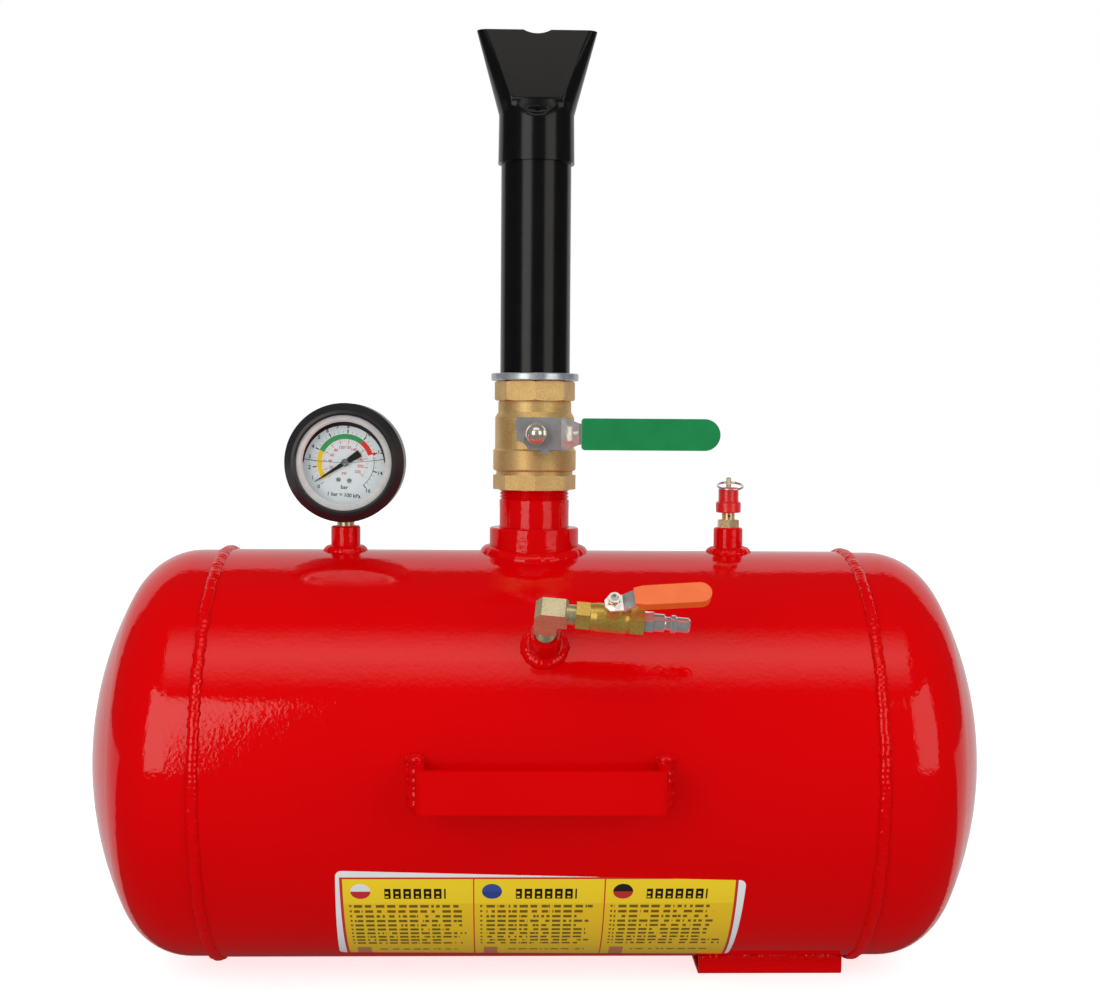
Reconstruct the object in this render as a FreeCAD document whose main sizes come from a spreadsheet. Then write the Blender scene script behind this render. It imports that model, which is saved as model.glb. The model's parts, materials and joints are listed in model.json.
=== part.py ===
import FreeCAD, Part
import Sketcher
import math
import os

# Tyre bead seater: a compressed-air tank lying on its side, with a quarter-turn ball valve
# and a flared barrel standing on it. Millimetres, +Z up, the nozzle's flat face towards -Y.

doc = FreeCAD.newDocument("bead_seater")
sheet = doc.addObject("Spreadsheet::Sheet", "sizes")
bodies = []
cuts = []


class Size:
    """A value together with the sheet expression that produces it."""

    def __init__(self, value, text):
        self.value, self.text = value, text

    def _with(self, other, sign, value, swap=False):
        a, b = (text_of(other), self.text) if swap else (self.text, text_of(other))
        return Size(value, f"({a} {sign} {b})")

    def __add__(self, other):
        return self._with(other, "+", self.value + number(other))

    def __radd__(self, other):
        return self._with(other, "+", number(other) + self.value, True)

    def __sub__(self, other):
        return self._with(other, "-", self.value - number(other))

    def __rsub__(self, other):
        return self._with(other, "-", number(other) - self.value, True)

    def __mul__(self, other):
        return self._with(other, "*", self.value * number(other))

    def __rmul__(self, other):
        return self._with(other, "*", number(other) * self.value, True)

    def __truediv__(self, other):
        return self._with(other, "/", self.value / number(other))

    def __neg__(self):
        return Size(-self.value, f"(0 - {self.text})")

    def root(self):
        return Size(math.sqrt(self.value), f"sqrt({self.text})")


def number(thing):
    return thing.value if isinstance(thing, Size) else float(thing)


def text_of(thing):
    return thing.text if isinstance(thing, Size) else f"{float(thing):.6f}"


def size(alias, value):
    """Write one named value into the sheet."""
    row = size.rows = getattr(size, "rows", 0) + 1
    sheet.set(f"A{row}", alias)
    sheet.set(f"B{row}", str(value))
    sheet.setAlias(f"B{row}", alias)
    return Size(float(value), f"sizes.{alias}")


def frame(x=0, y=0, z=0, axis="0; 0; 1", angle=0):
    """A position and one turn, as a placement expression; frames multiply left to right."""
    spot = f"vector({text_of(x)}; {text_of(y)}; {text_of(z)})"
    return f"placement({spot}; rotation(vector({axis}); {text_of(angle)}))"


def chain(*frames):
    return " * ".join(frames)


def new_body(name, place):
    body = doc.addObject("PartDesign::Body", name)
    body.setExpression("Placement", place)
    bodies.append(body)
    return body


def rect(x0, y0, x1, y1):
    return [(x0, y0), (x1, y0), (x1, y1), (x0, y1)]


def disc(x, y, radius):
    return ("disc", x, y, radius)


def ngon(count, flats, phase=0.5):
    """A regular polygon of the given size across its flats, one corner phase steps round."""
    reach = flats * (0.5 / math.cos(math.pi / count))
    turns = [2 * math.pi * (i + phase) / count for i in range(count)]
    return [(reach * round(math.cos(a), 9), reach * round(math.sin(a), 9)) for a in turns]


def slot_shape(half_length, half_height, corner):
    """A rectangle about the origin with its corners rounded."""
    x, y, c = half_length, half_height, corner
    return [(c - x, -y), (x - c, -y, c), (x, c - y), (x, y - c, c), (x - c, y),
            (c - x, y, c), (-x, y - c), (-x, c - y, c)]


def add_disc(sketch, loop):
    centre = FreeCAD.Vector(number(loop[1]), number(loop[2]), 0)
    circle = Part.Circle(centre, FreeCAD.Vector(0, 0, 1), number(loop[3]))
    ring = sketch.addGeometry(circle)
    fix(sketch, ring, 3, loop[1], loop[2])
    bind(sketch, Sketcher.Constraint("Radius", ring, number(loop[3])), loop[3])


def bind(sketch, constraint, value):
    index = sketch.addConstraint(constraint)
    sketch.setExpression(f"Constraints[{index}]", text_of(value))


def fix(sketch, item, point, x, y):
    """Hold one point of a sketch at a bound distance from the sketch's origin."""
    across = Sketcher.Constraint("DistanceX", -1, 1, item, point, number(x))
    up = Sketcher.Constraint("DistanceY", -1, 1, item, point, number(y))
    bind(sketch, across, x)
    bind(sketch, up, y)


def edge(start, end, bend):
    """A line, or an arc of radius bend that turns left (positive) or right (negative)."""
    p = FreeCAD.Vector(number(start[0]), number(start[1]), 0)
    q = FreeCAD.Vector(number(end[0]), number(end[1]), 0)
    if bend is None:
        return Part.LineSegment(p, q), 1, 2
    radius = abs(number(bend))
    left = number(bend) > 0
    half = (q - p).Length / 2
    step = math.sqrt(max(radius * radius - half * half, 0.0))
    side = FreeCAD.Vector(p.y - q.y, q.x - p.x, 0) / (2 * half)
    centre = (p + q) / 2 + side * (step if left else -step)
    first, last = (p, q) if left else (q, p)
    a0 = math.atan2(first.y - centre.y, first.x - centre.x)
    a1 = math.atan2(last.y - centre.y, last.x - centre.x)
    circle = Part.Circle(centre, FreeCAD.Vector(0, 0, 1), radius)
    return Part.ArcOfCircle(circle, a0, a1 if a1 > a0 else a1 + 2 * math.pi), *((1, 2) if left else (2, 1))


def add_loop(sketch, points):
    """Lines and arcs through bound points; a third value on a point bends the edge after it."""
    items, starts, ends = [], [], []
    for i, point in enumerate(points):
        bend = point[2] if len(point) > 2 else None
        shape, first, last = edge(point, points[(i + 1) % len(points)], bend)
        items.append(sketch.addGeometry(shape))
        starts.append(first)
        ends.append(last)
    for i, point in enumerate(points):
        before = i - 1
        joint = Sketcher.Constraint("Coincident", items[before], ends[before], items[i], starts[i])
        sketch.addConstraint(joint)
        fix(sketch, items[i], starts[i], point[0], point[1])
        if len(point) > 2:
            radius = point[2] if number(point[2]) > 0 else -point[2]
            bind(sketch, Sketcher.Constraint("Radius", items[i], number(radius)), radius)


def draw(body, plane, loops, lift=0):
    """A sketch on one of the body's own planes, lifted along the plane's normal."""
    sketch = body.newObject("Sketcher::SketchObject", f"{body.Name}_{plane.lower()}_sketch")
    role = f"{plane}_Plane"
    base = [item for item in body.Origin.OriginFeatures if item.Role == role][0]
    sketch.AttachmentSupport = [(base, "")]
    sketch.MapMode = "FlatFace"
    sketch.setExpression("AttachmentOffset.Base.z", text_of(lift))
    for loop in loops:
        if loop[0] == "disc":
            add_disc(sketch, loop)
        else:
            add_loop(sketch, loop)
    return sketch


def feature(body, kind, sketch):
    item = body.newObject(f"PartDesign::{kind}", f"{body.Name}_{kind.lower()}")
    item.Profile = sketch
    sketch.Visibility = False
    body.Tip = item
    return item


def pad(body, plane, loops, length, lift=0, both=False, flip=False):
    item = feature(body, "Pad", draw(body, plane, loops, lift))
    item.setExpression("Length", text_of(length))
    item.Midplane = both
    item.Reversed = flip
    return item


def cut(body, plane, loops, length=None, lift=0, flip=False):
    """A pocket of the given length on the plane's far side, or right through both ways."""
    item = feature(body, "Pocket", draw(body, plane, loops, lift))
    if length is None:
        item.Type = "ThroughAll"
        item.Midplane = True
    else:
        item.setExpression("Length", text_of(length))
        item.Reversed = not flip
    cuts.append(item)
    return item


def turn(body, loops, kind="Revolution", angle=360):
    """Spin a radius-and-height outline round the body's own Z axis."""
    sketch = draw(body, "XZ", loops)
    item = feature(body, kind, sketch)
    item.ReferenceAxis = (sketch, ["V_Axis"])
    item.Angle = angle
    if kind == "Groove":
        cuts.append(item)
    return item


def turned(name, place, *loops):
    body = new_body(name, place)
    turn(body, loops)
    return body


def threads(radius, start, count, pitch):
    """Points down one side of an outline that cut vee grooves into it."""
    deep = pitch * 0.5
    points = []
    for i in range(count):
        low = start + i * pitch
        points += [(radius, low), (radius - deep, low + pitch * 0.5)]
    return points + [(radius, start + count * pitch)]


# Tank
tank_r = size("tank_r", 140)
wall = size("wall", 3)
shell_half = size("shell_half", 214.5)
head_step = size("head_step", 0.6)
head_skirt = size("head_skirt", 18)
crown_r = size("crown_r", 238)
knuckle_r = size("knuckle_r", 45.4)
seam_half = size("seam_half", 4.6)
seam_rise = size("seam_rise", 3)
foot_gap = size("foot_gap", 5.2)
axis_y = size("axis_y", 16.75)
stack_x = size("stack_x", -2.5)
inlet_x = size("inlet_x", 2.8)
weld_leg = size("weld_leg", 6)
small_leg = size("small_leg", 5.5)

# Bosses
pipe_r = size("pipe_r", 24.15)
coupling_wall = size("coupling_wall", 6.85)
coupling_r = pipe_r + coupling_wall
coupling_rise = size("coupling_rise", 16.6)
boss_r = size("boss_r", 10.15)
boss_rise = size("boss_rise", 17)
boss_drop = size("boss_drop", 12)
boss_x = size("boss_x", 133.3)
quarter_thread_r = size("quarter_thread_r", 6.58)
inlet_tilt = size("inlet_tilt", 51.5)
branch_turn = size("branch_turn", -6)

# Handle, foot and label
handle_reach = size("handle_reach", 36.5)
handle_out = tank_r + handle_reach
handle_half = size("handle_half", 76.3)
handle_bar = size("handle_bar", 5)
handle_low = size("handle_low", -4.4)
handle_high = size("handle_high", 21.8)
handle_bend = size("handle_bend", 6.5)
foot_inset = size("foot_inset", 6.5)
foot_long = size("foot_long", 97.5)
foot_end = shell_half - foot_inset
foot_start = foot_end - foot_long
foot_half = size("foot_half", 48)
foot_plate = size("foot_plate", 3)
label_half = size("label_half", 129)
label_high = size("label_high", 46.5)
label_skin = size("label_skin", 0.25)
label_angle = size("label_angle", 132)

# Barrel stack, measured up from the top of the tank
stack_base = size("stack_base", 43)
pipe_wall = size("pipe_wall", 3.25)
pipe_bore_r = pipe_r - pipe_wall
cap_wall = size("cap_wall", 2.35)
cap_flats = (pipe_r + cap_wall) * 2
cap_high = size("cap_high", 13)
band_wall = size("band_wall", 4.55)
band_r = pipe_r + band_wall
band_top = size("band_top", 27.7)
stem_up = size("stem_up", 38.9)
ball_r = size("ball_r", 22)
ball_port_r = size("ball_port_r", 14)
cavity_r = size("cavity_r", 22.6)
cavity_wall = size("cavity_wall", 4.85)
valve_r = cavity_r + cavity_wall
seat_low = size("seat_low", 14)
seat_high = size("seat_high", 18)
run_gap = size("run_gap", 0.05)
shoulder_up = size("shoulder_up", 52.2)
neck_wall = size("neck_wall", 1.2)
neck_r = pipe_r + neck_wall
upper_low = size("upper_low", 61.3)
upper_high = size("upper_high", 74.8)
upper_wall = size("upper_wall", 1.55)
upper_flats = (pipe_r + upper_wall) * 2
ring_wide = size("ring_wide", 6.1)
ring_r = pipe_r + ring_wide
ring_high = size("ring_high", 5)
nozzle_up = size("nozzle_up", 224)
collar_wall = size("collar_wall", 2.15)
collar_r = pipe_r + collar_wall
flare_up = size("flare_up", 257)
flare_top = size("flare_top", 314.3)
flare_half = size("flare_half", 41.4)
flare_deep = size("flare_deep", 7)
nozzle_wall = size("nozzle_wall", 1.7)

# Main lever, measured out from the ball's centre
stem_r = size("stem_r", 5.5)
gland_top = size("gland_top", 40.5)
plate_out = size("plate_out", 42.8)
plate_thick = size("plate_thick", 2.8)
thread_r = size("thread_r", 4.95)
hub_half = size("hub_half", 11)
arm_out = size("arm_out", 57)
grip_start = size("grip_start", 30)
grip_end = size("grip_end", 121.4)
grip_half = size("grip_half", 10.5)
grip_thick = size("grip_thick", 10)

# Gauge, measured from the centre of its dial
case_r = size("case_r", 33.2)
boot_wall = size("boot_wall", 7.8)
boot_r = case_r + boot_wall
gauge_neck = size("gauge_neck", 19.8)
gauge_up = boot_r + gauge_neck
bezel_wall = size("bezel_wall", 0.8)
bezel_r = case_r + bezel_wall
lip_cover = size("lip_cover", 1.2)
boot_lip_r = bezel_r - lip_cover
dial_gap = size("dial_gap", 2.2)
dial_r = case_r - dial_gap
bezel_face = size("bezel_face", 5.8)
view_r = bezel_r - bezel_face
arbor_r = size("arbor_r", 0.95)
pointer_turn = size("pointer_turn", 212.5)

# Relief valve, measured up from its boss
relief_flats = size("relief_flats", 14)
relief_hex = size("relief_hex", 5.4)
relief_neck_r = size("relief_neck_r", 4.6)
chamber_r = size("chamber_r", 3.6)
cap_low = size("cap_low", 10.4)
cap_step = size("cap_step", 18.1)
cap_top = size("cap_top", 27.9)
cap_low_r = size("cap_low_r", 8.7)
cap_top_r = size("cap_top_r", 6.95)
rod_r = size("rod_r", 1.7)
rod_top = size("rod_top", 34.9)
pull_up = size("pull_up", 31.4)
pull_ring_r = size("pull_ring_r", 8.7)
wire_r = size("wire_r", 0.75)
pull_tilt = size("pull_tilt", 15)

# Inlet, measured from the centre of the elbow
elbow_rise = size("elbow_rise", 42)
elbow_out = tank_r + elbow_rise
elbow_half = size("elbow_half", 7)
inlet_flats = size("inlet_flats", 16.5)
inlet_start = size("inlet_start", 18.2)
inlet_end = size("inlet_end", 60)
inlet_stem_x = size("inlet_stem_x", 40.5)
inlet_ball_r = size("inlet_ball_r", 6.6)
inlet_port_r = size("inlet_port_r", 4)
inlet_stem_r = size("inlet_stem_r", 2.9)
inlet_plate_up = size("inlet_plate_up", 16)
inlet_lever_turn = size("inlet_lever_turn", 10)
inlet_lever_end = size("inlet_lever_end", 59)

tank_z = tank_r + foot_gap
tank_place = frame(0, axis_y, tank_z)
stack_place = frame(stack_x, axis_y, tank_z + tank_r + stack_base)
stem_place = chain(stack_place, frame(0, 0, stem_up, "1; 0; 0", 90))
gauge_place = frame(-boss_x, axis_y, tank_z + tank_r + gauge_up, "1; 0; 0", 90)
relief_place = frame(boss_x, axis_y, tank_z + tank_r + boss_rise)
inlet_straight = chain(tank_place, frame(inlet_x, 0, 0, "1; 0; 0", inlet_tilt))
inlet_place = chain(inlet_straight, frame(0, 0, 0, "0; 0; 1", branch_turn))
branch_place = chain(inlet_place, frame(0, 0, elbow_out, "0; 1; 0", 90))
inlet_stem_place = chain(inlet_place, frame(inlet_stem_x, 0, elbow_out))
inlet_lever_place = chain(inlet_stem_place, frame(0, 0, 0, "0; 0; 1", inlet_lever_turn))


# Shell, with a hole for each fitting that passes through it
shell = new_body("tank_shell", tank_place)
pad(shell, "YZ", [disc(0, 0, tank_r), disc(0, 0, tank_r - wall)], shell_half * 2, both=True)
holes = [disc(stack_x, 0, coupling_r), disc(boss_x, 0, boss_r), disc(-boss_x, 0, boss_r)]
cut(shell, "XY", holes, tank_r * 2)
side = draw(shell, "XY", [disc(inlet_x, 0, boss_r)])
side.setExpression("AttachmentOffset", frame(0, 0, 0, "1; 0; 0", inlet_tilt))
side_hole = feature(shell, "Pocket", side)
side_hole.setExpression("Length", text_of(tank_r * 2))
side_hole.Reversed = True
cuts.append(side_hole)


def head_outline(radius, crown, knuckle, skirt):
    """Half of a dished end: straight skirt, knuckle arc, crown arc; returns points and pole."""
    inset = radius - knuckle
    drop = ((crown - knuckle) * (crown - knuckle) - inset * inset).root()
    centre = skirt - drop
    share = crown / (crown - knuckle)
    return (radius, skirt, knuckle), (inset * share, centre + drop * share, crown), centre + crown


def head(name, place):
    outer = tank_r - head_step
    low, mid, pole = head_outline(outer, crown_r, knuckle_r, head_skirt)
    low_in, mid_in, pole_in = head_outline(outer - wall, crown_r - wall, knuckle_r - wall, head_skirt)
    inner = [(0, pole_in, -(crown_r - wall)), (mid_in[0], mid_in[1], -(knuckle_r - wall)),
             (low_in[0], low_in[1]), (outer - wall, 0)]
    turned(name, place, [(outer, 0), low, mid, (0, pole)] + inner)


right_end = chain(tank_place, frame(shell_half, 0, 0, "0; 1; 0", 90))
left_end = chain(tank_place, frame(-shell_half, 0, 0, "0; 1; 0", -90))
head("right_head", right_end)
head("left_head", left_end)


def seam(name, place):
    """A rolled-over weld bead across the joint between shell and head."""
    bulge = (seam_half * seam_half + seam_rise * seam_rise) / (seam_rise * 2)
    outer = tank_r - head_step
    turned(name, place, [(tank_r, -seam_half, bulge), (tank_r + seam_rise, 0, bulge),
                         (outer, seam_half), (outer, 0), (tank_r, 0)])


seam("right_seam_weld", right_end)
seam("left_seam_weld", left_end)

long_seam = new_body("long_seam_weld", chain(tank_place, frame(0, 0, 0, "1; 0; 0", 205)))
seam_edge = (tank_r * tank_r - 12.25).root()
pad(long_seam, "YZ", [[(-3.5, seam_edge, -tank_r), (3.5, seam_edge, 4.5)]],
    (shell_half - seam_half) * 2, both=True)


def boss(name, place, radius, bore, rise):
    turned(name, place, [(bore, tank_r - boss_drop), (radius, tank_r - boss_drop),
                         (radius, tank_r + rise - 1), (radius - 1, tank_r + rise),
                         (bore + 0.8, tank_r + rise), (bore, tank_r + rise - 0.8)])


def boss_weld(name, place, radius, leg):
    """A fillet bead that follows the curve of the tank round a fitting."""
    body = new_body(name, place)
    pad(body, "XY", [disc(0, 0, radius + leg), disc(0, 0, radius)], tank_r * 2)
    cut(body, "YZ", [disc(0, 0, tank_r)])
    last = cut(body, "YZ", [disc(0, 0, tank_r * 3), disc(0, 0, tank_r + leg)])
    doc.recompute()
    reach, top = number(radius + leg), number(tank_r + leg)
    rim = [f"Edge{i + 1}" for i, line in enumerate(body.Shape.Edges)
           if all(abs(math.hypot(v.X, v.Y) - reach) < 0.01 for v in local_points(body, line))
           and all(abs(math.hypot(v.Y, v.Z) - top) < 0.01 for v in local_points(body, line))]
    body.newObject("PartDesign::Chamfer", name + "_slope")
    slope = body.Group[-1]
    slope.Base = (last, rim)
    slope.setExpression("Size", text_of(leg * 0.8))
    body.Tip = slope


def local_points(body, line):
    """Points along an edge of a body, in the body's own frame."""
    back = body.Placement.inverse()
    spots = [back.multVec(point) for point in line.discretize(5)]
    return [Part.Vertex(spot) for spot in spots]


coupling_place = chain(tank_place, frame(stack_x, 0, 0))
left_boss_place = chain(tank_place, frame(-boss_x, 0, 0))
right_boss_place = chain(tank_place, frame(boss_x, 0, 0))
boss("barrel_coupling", coupling_place, coupling_r, pipe_r, coupling_rise)
boss("gauge_boss", left_boss_place, boss_r, quarter_thread_r, boss_rise)
boss("relief_boss", right_boss_place, boss_r, quarter_thread_r, boss_rise)
boss("inlet_boss", inlet_place, boss_r, quarter_thread_r, boss_rise)
boss_weld("coupling_weld", coupling_place, coupling_r, weld_leg)
boss_weld("gauge_boss_weld", left_boss_place, boss_r, small_leg)
boss_weld("relief_boss_weld", right_boss_place, boss_r, small_leg)
boss_weld("inlet_boss_weld", inlet_straight, boss_r, small_leg)

# Carrying handle: one flat bar bent twice, its ends cut to the curve of the tank
handle = new_body("carry_handle", tank_place)
inside = handle_half - handle_bar
bend_in = handle_bend - handle_bar + 1
front, back_of_bar = -handle_out, handle_bar - handle_out
bar = [(-handle_half, -tank_r * 0.5), (-handle_half, front + handle_bend, handle_bend),
       (handle_bend - handle_half, front), (handle_half - handle_bend, front, handle_bend),
       (handle_half, front + handle_bend), (handle_half, -tank_r * 0.5), (inside, -tank_r * 0.5),
       (inside, back_of_bar + bend_in, -bend_in), (inside - bend_in, back_of_bar),
       (bend_in - inside, back_of_bar, -bend_in), (-inside, back_of_bar + bend_in),
       (-inside, -tank_r * 0.5)]
pad(handle, "XY", [bar], handle_high - handle_low, lift=handle_low)
cut(handle, "YZ", [disc(0, 0, tank_r)])


def handle_wedge(side):
    x0, x1 = side * handle_half, side * (handle_half + 5.5)
    return [(x0, -tank_r - 6.5), (x1 - side * 3.2, -tank_r - 5), (x1, -tank_r - 1),
            (x1, -tank_r * 0.6), (x0, -tank_r * 0.6)]


handle_welds = new_body("handle_welds", tank_place)
handle_welds.AllowCompound = True
pad(handle_welds, "XY", [handle_wedge(-1), handle_wedge(1)], handle_high - handle_low + 3,
    lift=handle_low - 1.5)
cut(handle_welds, "YZ", [disc(0, 0, tank_r)])

# Foot: a bent channel along the underside, welded along both top edges
foot = new_body("foot_bracket", tank_place)
floor = -(tank_r + foot_gap)
bend = size("foot_bend", 5)
tuck = bend - foot_plate
lip = -tank_r * 0.8
channel = [(bend - foot_half, floor), (foot_half - bend, floor, bend), (foot_half, floor + bend),
           (foot_half, lip), (foot_half - foot_plate, lip),
           (foot_half - foot_plate, floor + bend, -tuck), (foot_half - bend, floor + foot_plate),
           (bend - foot_half, floor + foot_plate, -tuck), (foot_plate - foot_half, floor + bend),
           (foot_plate - foot_half, lip), (-foot_half, lip), (-foot_half, floor + bend, bend)]
pad(foot, "YZ", [channel], foot_end - foot_start, lift=foot_start)
cut(foot, "YZ", [disc(0, 0, tank_r)])


def foot_wedge(side):
    meet = -((tank_r * tank_r - foot_half * foot_half).root())
    y0, y1 = side * foot_half, side * (foot_half + 4.5)
    return [(y0, meet - 4.2), (y1 - side * 2, meet - 2), (y1, meet + 1.6), (y1, lip), (y0, lip)]


foot_welds = new_body("foot_welds", tank_place)
foot_welds.AllowCompound = True
pad(foot_welds, "YZ", [foot_wedge(-1), foot_wedge(1)], foot_end - foot_start - 3, lift=foot_start + 1.5)
cut(foot_welds, "YZ", [disc(0, 0, tank_r)])

# Label: a rounded sheet laid on the lower front of the shell
label = new_body("label", chain(tank_place, frame(0, 0, 0, "1; 0; 0", label_angle)))
sheet_up = tank_r + 10
tip = size("label_tilt", -1.6)
patch = draw(label, "XY", [slot_shape(label_half, label_high, size("label_corner", 4))])
patch.setExpression("AttachmentOffset", frame(0, 0, tank_r * 0.7, "0; 0; 1", tip))
block = feature(label, "Pad", patch)
block.setExpression("Length", text_of(sheet_up - tank_r * 0.7))
cut(label, "YZ", [disc(0, 0, tank_r)])
cut(label, "YZ", [disc(0, 0, tank_r * 3), disc(0, 0, tank_r + label_skin)])

# Barrel stack: nipple, ball valve, lock ring, barrel, nozzle
nipple_low = -(stack_base + boss_drop)
nipple_top = size("nipple_top", 10)
nipple_outline = [(pipe_bore_r, nipple_low)] + threads(pipe_r, -7.5, 3, 2.3)
nipple_outline.insert(1, (pipe_r, nipple_low))
turned("tank_nipple", stack_place, nipple_outline + [(pipe_r, nipple_top), (pipe_bore_r, nipple_top)])

spigot_wall = size("spigot_wall", 1.05)
spigot_r = pipe_r + spigot_wall
spigot_top = stem_up - seat_high
cap = new_body("valve_end_cap", stack_place)
pad(cap, "XY", [ngon(8, cap_flats, 0), disc(0, 0, pipe_r)], nipple_top)
turn(cap, [[(ball_port_r, nipple_top), (spigot_r, nipple_top), (spigot_r, spigot_top),
            (ball_port_r, spigot_top)]])
turn(cap, [[(pipe_r, nipple_top), (cap_flats * 0.5, nipple_top), (cap_flats * 0.5, cap_high - 0.4),
            (ball_port_r, cap_high - 0.4), (ball_port_r, nipple_top)]])
turn(cap, [[(cap_flats * 0.53, -1), (cap_flats * 0.6, -1), (cap_flats * 0.6, 2),
            (cap_flats * 0.551, 2)]], "Groove")

socket_low = stem_up + seat_high + 3.5
valve = new_body("valve_body", stack_place)
turn(valve, [[(spigot_r, cap_high), (band_r - 1, cap_high), (band_r, cap_high + 1),
              (band_r, band_top - 0.8), (band_r - 0.8, band_top), (valve_r, band_top + 0.5),
              (valve_r, shoulder_up - 2.4), (neck_r, shoulder_up + 1.2), (neck_r, upper_low - 1.4),
              (neck_r - 0.6, upper_low), (neck_r - 0.6, upper_high), (pipe_r, upper_high),
              (pipe_r, socket_low), (ball_port_r + 0.4, socket_low),
              (ball_port_r + 0.4, stem_up + seat_high), (cavity_r, stem_up + seat_high),
              (cavity_r, spigot_top), (spigot_r, spigot_top)]])
pad(valve, "XY", [ngon(8, upper_flats, 0), disc(0, 0, pipe_r)], upper_high - upper_low, lift=upper_low)
for low, high in ((upper_low - 0.1, upper_low + 2), (upper_high + 0.1, upper_high - 2)):
    turn(valve, [[(upper_flats * 0.505, low), (upper_flats * 0.6, low), (upper_flats * 0.6, high)]],
         "Groove")
neck = draw(valve, "XZ", [disc(0, stem_up, stem_r + 5)], valve_r * 0.75)
gland_seat = size("gland_seat", 36)
neck_pad = feature(valve, "Pad", neck)
neck_pad.setExpression("Length", text_of(gland_seat - valve_r * 0.75))
lug = [(-1.7, stem_up - 14), (2.7, stem_up - 14), (2.7, stem_up - stem_r - 4), (-1.7, stem_up - stem_r - 4)]
pad(valve, "XZ", [lug], gland_seat - valve_r * 0.8, lift=valve_r * 0.8)
nose = [(-1.7, stem_up - 14), (2.7, stem_up - 14), (2.7, stem_up - 10.2), (-1.7, stem_up - 10.2)]
pad(valve, "XZ", [nose], gland_top - 1 - gland_seat + 0.5, lift=gland_seat - 0.5)
turn(valve, [[(0, spigot_top), (cavity_r, spigot_top), (cavity_r, stem_up + seat_high),
              (0, stem_up + seat_high)]], "Groove")
cut(valve, "XZ", [disc(0, stem_up, stem_r + run_gap)], gland_seat + 5)
cut(valve, "XZ", [disc(0, stem_up, stem_r + 2.6)], 25)
cut(valve, "XZ", [disc(0, stem_up, stem_r + 2.6)], 10, lift=29)


def seat_rings(body, port, run, low, high, outer):
    """Two rings, one at each side of a ball, with spherical faces that it runs against."""
    body.AllowCompound = True
    touch = (run * run - port * port).root()
    wide = (run * run - low * low).root()
    turn(body, [[(port, touch), (port, high), (outer, high), (outer, low), (wide, low, run)],
                [(port, -touch, run), (wide, -low), (outer, -low), (outer, -high), (port, -high)]])


seats = new_body("valve_seats", chain(stack_place, frame(0, 0, stem_up)))
seat_rings(seats, ball_port_r + 0.4, ball_r + run_gap, seat_low, seat_high, cavity_r)

# Ball and stem turn together; at rest the port lies across the flow, so the valve is closed
ball = new_body("valve_ball", stem_place)
turn(ball, [[(0, -ball_r, ball_r), (ball_r, 0, ball_r), (0, ball_r)]])
cut(ball, "YZ", [disc(0, 0, ball_port_r)])
tang_half = size("tang_half", 2.5)
cut(ball, "XY", [rect(-stem_r - 1, -tang_half, stem_r + 1, tang_half)], 10, lift=ball_r * 0.8)

stem = new_body("valve_stem", stem_place)
turn(stem, [[(0, ball_r + 0.2), (stem_r + 2.5, ball_r + 0.2), (stem_r + 2.5, 24.8), (stem_r, 24.8),
             (stem_r, plate_out), (thread_r, plate_out), (thread_r, 50.5), (thread_r - 1, 51.5),
             (0, 51.5)]])
pad(stem, "XY", [rect(-stem_r, -tang_half + 0.05, stem_r, tang_half - 0.05)], 5, lift=ball_r - 4.2)

turned("stem_packing", stem_place, [(stem_r + run_gap, 29), (stem_r + 2.6, 29), (stem_r + 2.6, 33.5),
                                    (stem_r + run_gap, 33.5)])
gland = new_body("gland_nut", stem_place)
gland_flats = size("gland_flats", 16.6)
pad(gland, "XY", [ngon(6, gland_flats), disc(0, 0, stem_r + run_gap)], gland_top - gland_seat,
    lift=gland_seat)
pad(gland, "XY", [disc(0, 0, stem_r + 2.5), disc(0, 0, stem_r + run_gap)], gland_seat - 33.5,
    lift=gland_seat, flip=True)

# Lever: hub plate, a step outwards, then a straight arm inside the grip
plate_top = plate_out + plate_thick
arm = new_body("lever_arm", stem_place)
step_out = arm_out - plate_out
strip = [(-13, -plate_top), (17, -plate_top), (28, -plate_top - step_out),
         (grip_end - 9, -plate_top - step_out), (grip_end - 9, -plate_out - step_out),
         (29, -plate_out - step_out), (18, -plate_out), (-13, -plate_out)]
pad(arm, "XZ", [[(x, -y) for x, y in strip]], hub_half * 2, both=True)
cut(arm, "XY", [disc(-13, -hub_half - 2, 8)])
narrow = [(19, hub_half + 1), (19, hub_half), (28.5, 7), (grip_end, 7), (grip_end, hub_half + 1)]
cut(arm, "XY", [narrow])
cut(arm, "XY", [[(x, -y) for x, y in narrow]])
cut(arm, "XY", [disc(0, 0, thread_r + 0.05)])
tab_in = plate_out - 5.5
pad(arm, "XY", [rect(3, -13.7, 9, -hub_half - 0.2)], plate_top - tab_in, lift=tab_in)
pad(arm, "XY", [rect(3, -13.7, 9, -hub_half + 1)], plate_thick, lift=plate_out)
pad(arm, "XY", [rect(-13.7, 2, -hub_half - 0.2, 9)], plate_top - tab_in, lift=tab_in)

grip = new_body("lever_grip", stem_place)
grip_mid = arm_out + plate_thick * 0.5
grip_loop = [(grip_start + 2, -grip_half), (grip_end - grip_half, -grip_half, grip_half),
             (grip_end, 0, grip_half), (grip_end - grip_half, grip_half), (grip_start + 2, grip_half, 2),
             (grip_start, grip_half - 2), (grip_start, 2 - grip_half, 2)]
pad(grip, "XY", [grip_loop], grip_thick, lift=grip_mid - grip_thick * 0.5)
cut(grip, "XY", [rect(grip_start - 1, -7, grip_end - 9, 7)], plate_thick, lift=arm_out)

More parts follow.
